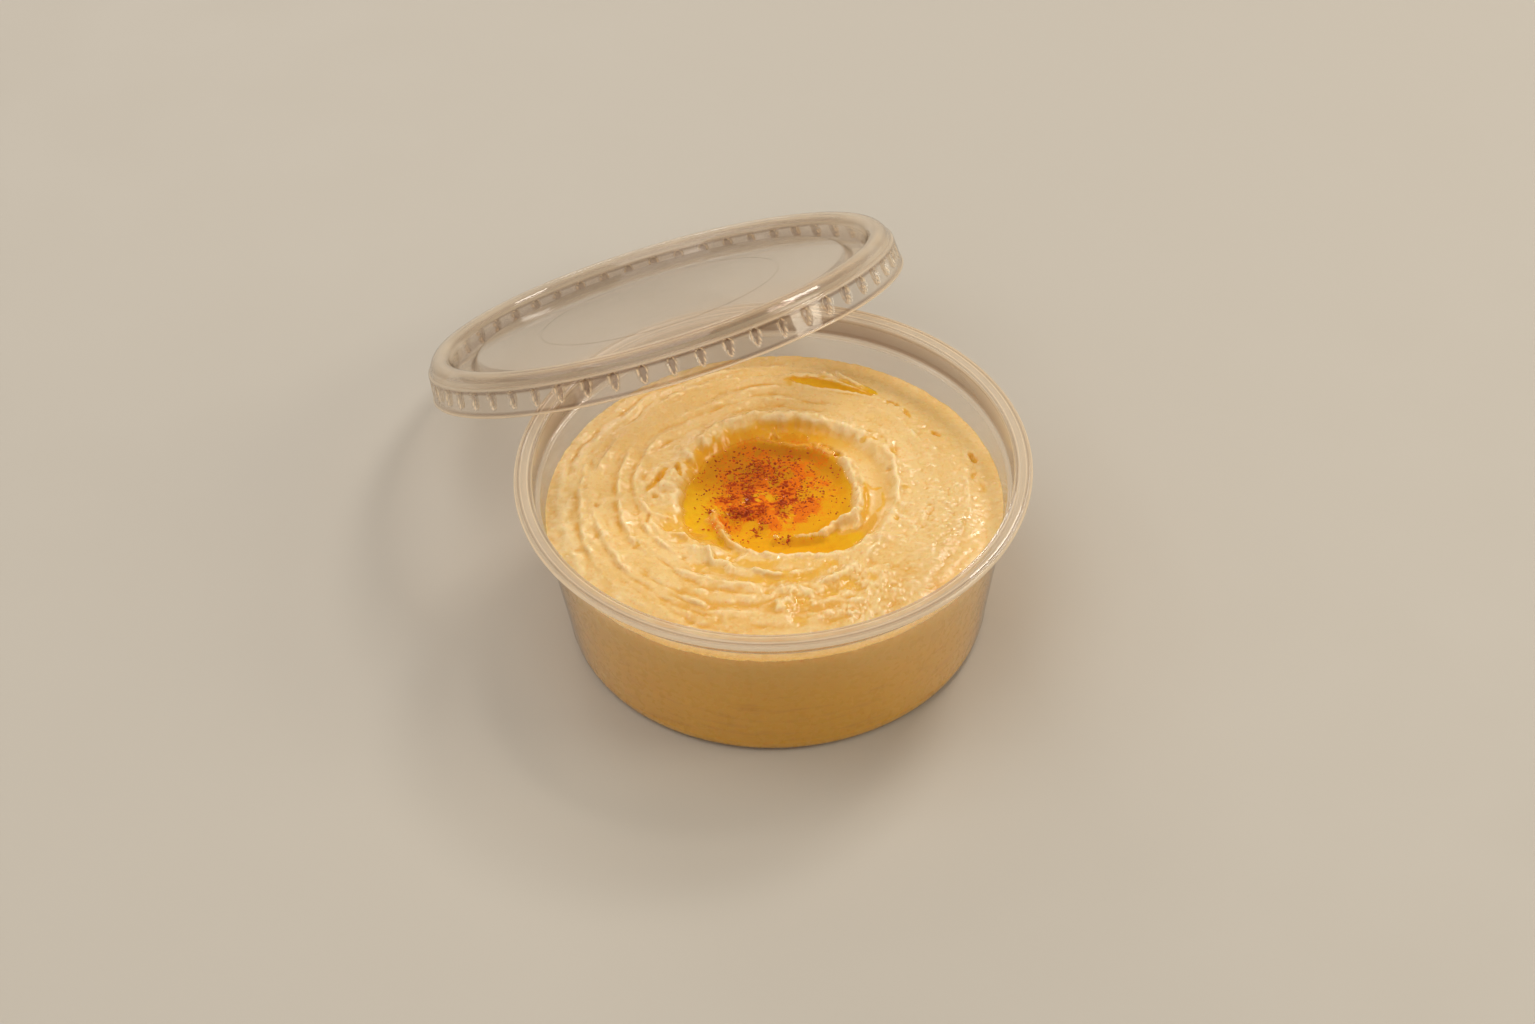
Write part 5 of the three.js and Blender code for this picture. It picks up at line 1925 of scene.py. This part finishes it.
        # painted dark lines where the sheet bends: the lugs, the foot, the shoulder and the corners of the
        # rings
        painted_bend_dark = 0.35 * pressed + 0.5 * bell(height, 0.8, 0.25)
        painted_bend_dark += 0.6 * bell(height, shoulder - 0.7, 0.3) * skirt
        for corner, width, most in (
            (self.gutter_radius - 0.4, 0.4, 0.5), (self.gutter_radius - self.gutter_width, 0.4, 0.4),
            (self.panel_radius, 0.3, 0.4), (30.2, 0.25, 0.3),
            (bead_in + 0.6, 0.25, 0.4), (bead_out - 0.5, 0.3, 0.3),
        ):
            painted_bend_dark += most * bell(radius, corner, width)
        vertices = self.place(self.press_lugs(vertices))
        fields = {"milk_and_highlight": milk_and_highlight, "painted_bend_dark": painted_bend_dark}
        return make_piece("lid_sheet", vertices, faces, self.finish.material(), ["lid"], fields)


# ------------------------------------------------------------------ studio


@dataclass(frozen=True)
class Studio:
    """Pale floor, soft lamps and the camera."""

    focal: float = 3000.0
    frame_width: float = 1535.0
    camera_place: tuple[float, float, float] = (-1.587, -505.303, 491.858)
    pitch: float = 42.541
    roll: float = -2.152
    half_floor: float = 3.0
    aim: tuple[float, float, float] = (0, 0.02, 0.03)
    room_tint: tuple[float, float, float, float] = (1.0, 0.96, 0.9, 1)
    room_light: float = 0.27

    def floor(self) -> None:
        """A wide flat board under the tub."""
        mesh = bpy.data.meshes.new("studio_floor")
        half = self.half_floor
        corners = [(-half, -half, 0), (half, -half, 0), (half, half, 0), (-half, half, 0)]
        mesh.from_pydata(corners, [], [(0, 1, 2, 3)])
        mesh.materials.append(StudioFloor().material())
        board = bpy.data.objects.new("studio_floor", mesh)
        bpy.context.scene.collection.objects.link(board)

    def lamp(
        self, name: str, place: Sequence[float], size: float, power: float, tint: Sequence[float]
    ) -> None:
        """A square soft lamp that faces the tub.

        Args:
            name: The lamp's name.
            place: Where it hangs, in metres.
            size: Its side, in metres.
            power: Watts.
            tint: Its colour, linear.
        """
        data = bpy.data.lights.new(name, "AREA")
        data.size, data.energy, data.color = size, power, tint
        lamp = bpy.data.objects.new(name, data)
        lamp.location = place
        lamp.rotation_euler = (Vector(self.aim) - Vector(place)).to_track_quat("-Z", "Y").to_euler()
        bpy.context.scene.collection.objects.link(lamp)

    def camera(self) -> None:
        """The camera: looks down by pitch from the front, turned a little about its own axis."""
        data = bpy.data.cameras.new("camera")
        data.sensor_width = 36.0
        data.lens = self.focal / self.frame_width * data.sensor_width
        data.clip_start, data.clip_end = 0.01, 20
        camera = bpy.data.objects.new("camera", data)
        tilt = Matrix.Rotation(math.radians(90 - self.pitch), 4, "X")
        turn = tilt @ Matrix.Rotation(math.radians(self.roll), 4, "Z")
        camera.matrix_world = Matrix.Translation(Vector(self.camera_place) * MM) @ turn
        bpy.context.scene.collection.objects.link(camera)
        bpy.context.scene.camera = camera

    def build(self) -> None:
        """Sets up everything round the tub."""
        scene = bpy.context.scene
        scene.view_settings.view_transform = "Standard"
        world = bpy.data.worlds.new("soft_room")
        world.use_nodes = True
        background = world.node_tree.nodes["Background"]
        background.inputs["Color"].default_value = self.room_tint
        background.inputs["Strength"].default_value = self.room_light
        scene.world = world
        self.floor()
        self.lamp("key_back_right", (0.75, 0.85, 1.3), 0.42, 10.3, (1.0, 0.95, 0.88))
        self.lamp("softbox_above", (-0.5, -0.1, 1.5), 1.3, 9.8, (1.0, 0.97, 0.92))
        self.lamp("window_back", (-0.5, 1.6, 0.75), 0.6, 5, (1.0, 0.97, 0.93))
        self.lamp("bounce_left", (-1.3, 0.1, 1.0), 0.9, 2.6, (1.0, 0.97, 0.92))
        self.lamp("panel_right", (1.3, -0.2, 0.65), 0.6, 6.4, (1.0, 0.94, 0.78))
        self.lamp("fill_front", (-0.6, -1.5, 0.95), 1.7, 6.3, (1.0, 0.96, 0.9))
        self.camera()


# ------------------------------------------------------------------ the whole scene


def main() -> None:
    """Builds the studio, the tub, the lid and the food."""
    logging.basicConfig(level=logging.INFO, format="%(name)s: %(message)s")
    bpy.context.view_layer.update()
    Studio().build()
    plastic = ClearPlastic()
    DeliTub(plastic).build()
    LeaningLid(ClearPlastic("polypropylene_clear_lid", haze=0.02)).build()
    surface = SpoonedSurface()
    HummusFill(surface).build()
    oil = OliveOil().material()
    pool_box, pool_seed = (-26, 26, -22, 27), (-15, 2)
    OilPool("oil_pool", surface, surface.oil_level, pool_box, pool_seed, ("olive_oil",)).build(oil)
    streak_box, streak_seed, streak_oval = (1, 28, 32, 45), (12, 40.6), (11.2, 2.9)
    OilPool(
        "oil_in_split", surface, surface.split_level, streak_box, streak_seed, ("oil_streak",),
        step=0.2, climb=0.1, bound=streak_oval,
    ).build(oil)
    PaprikaDust(surface.oil_level).build(surface)


if __name__ == "__main__":
    main()
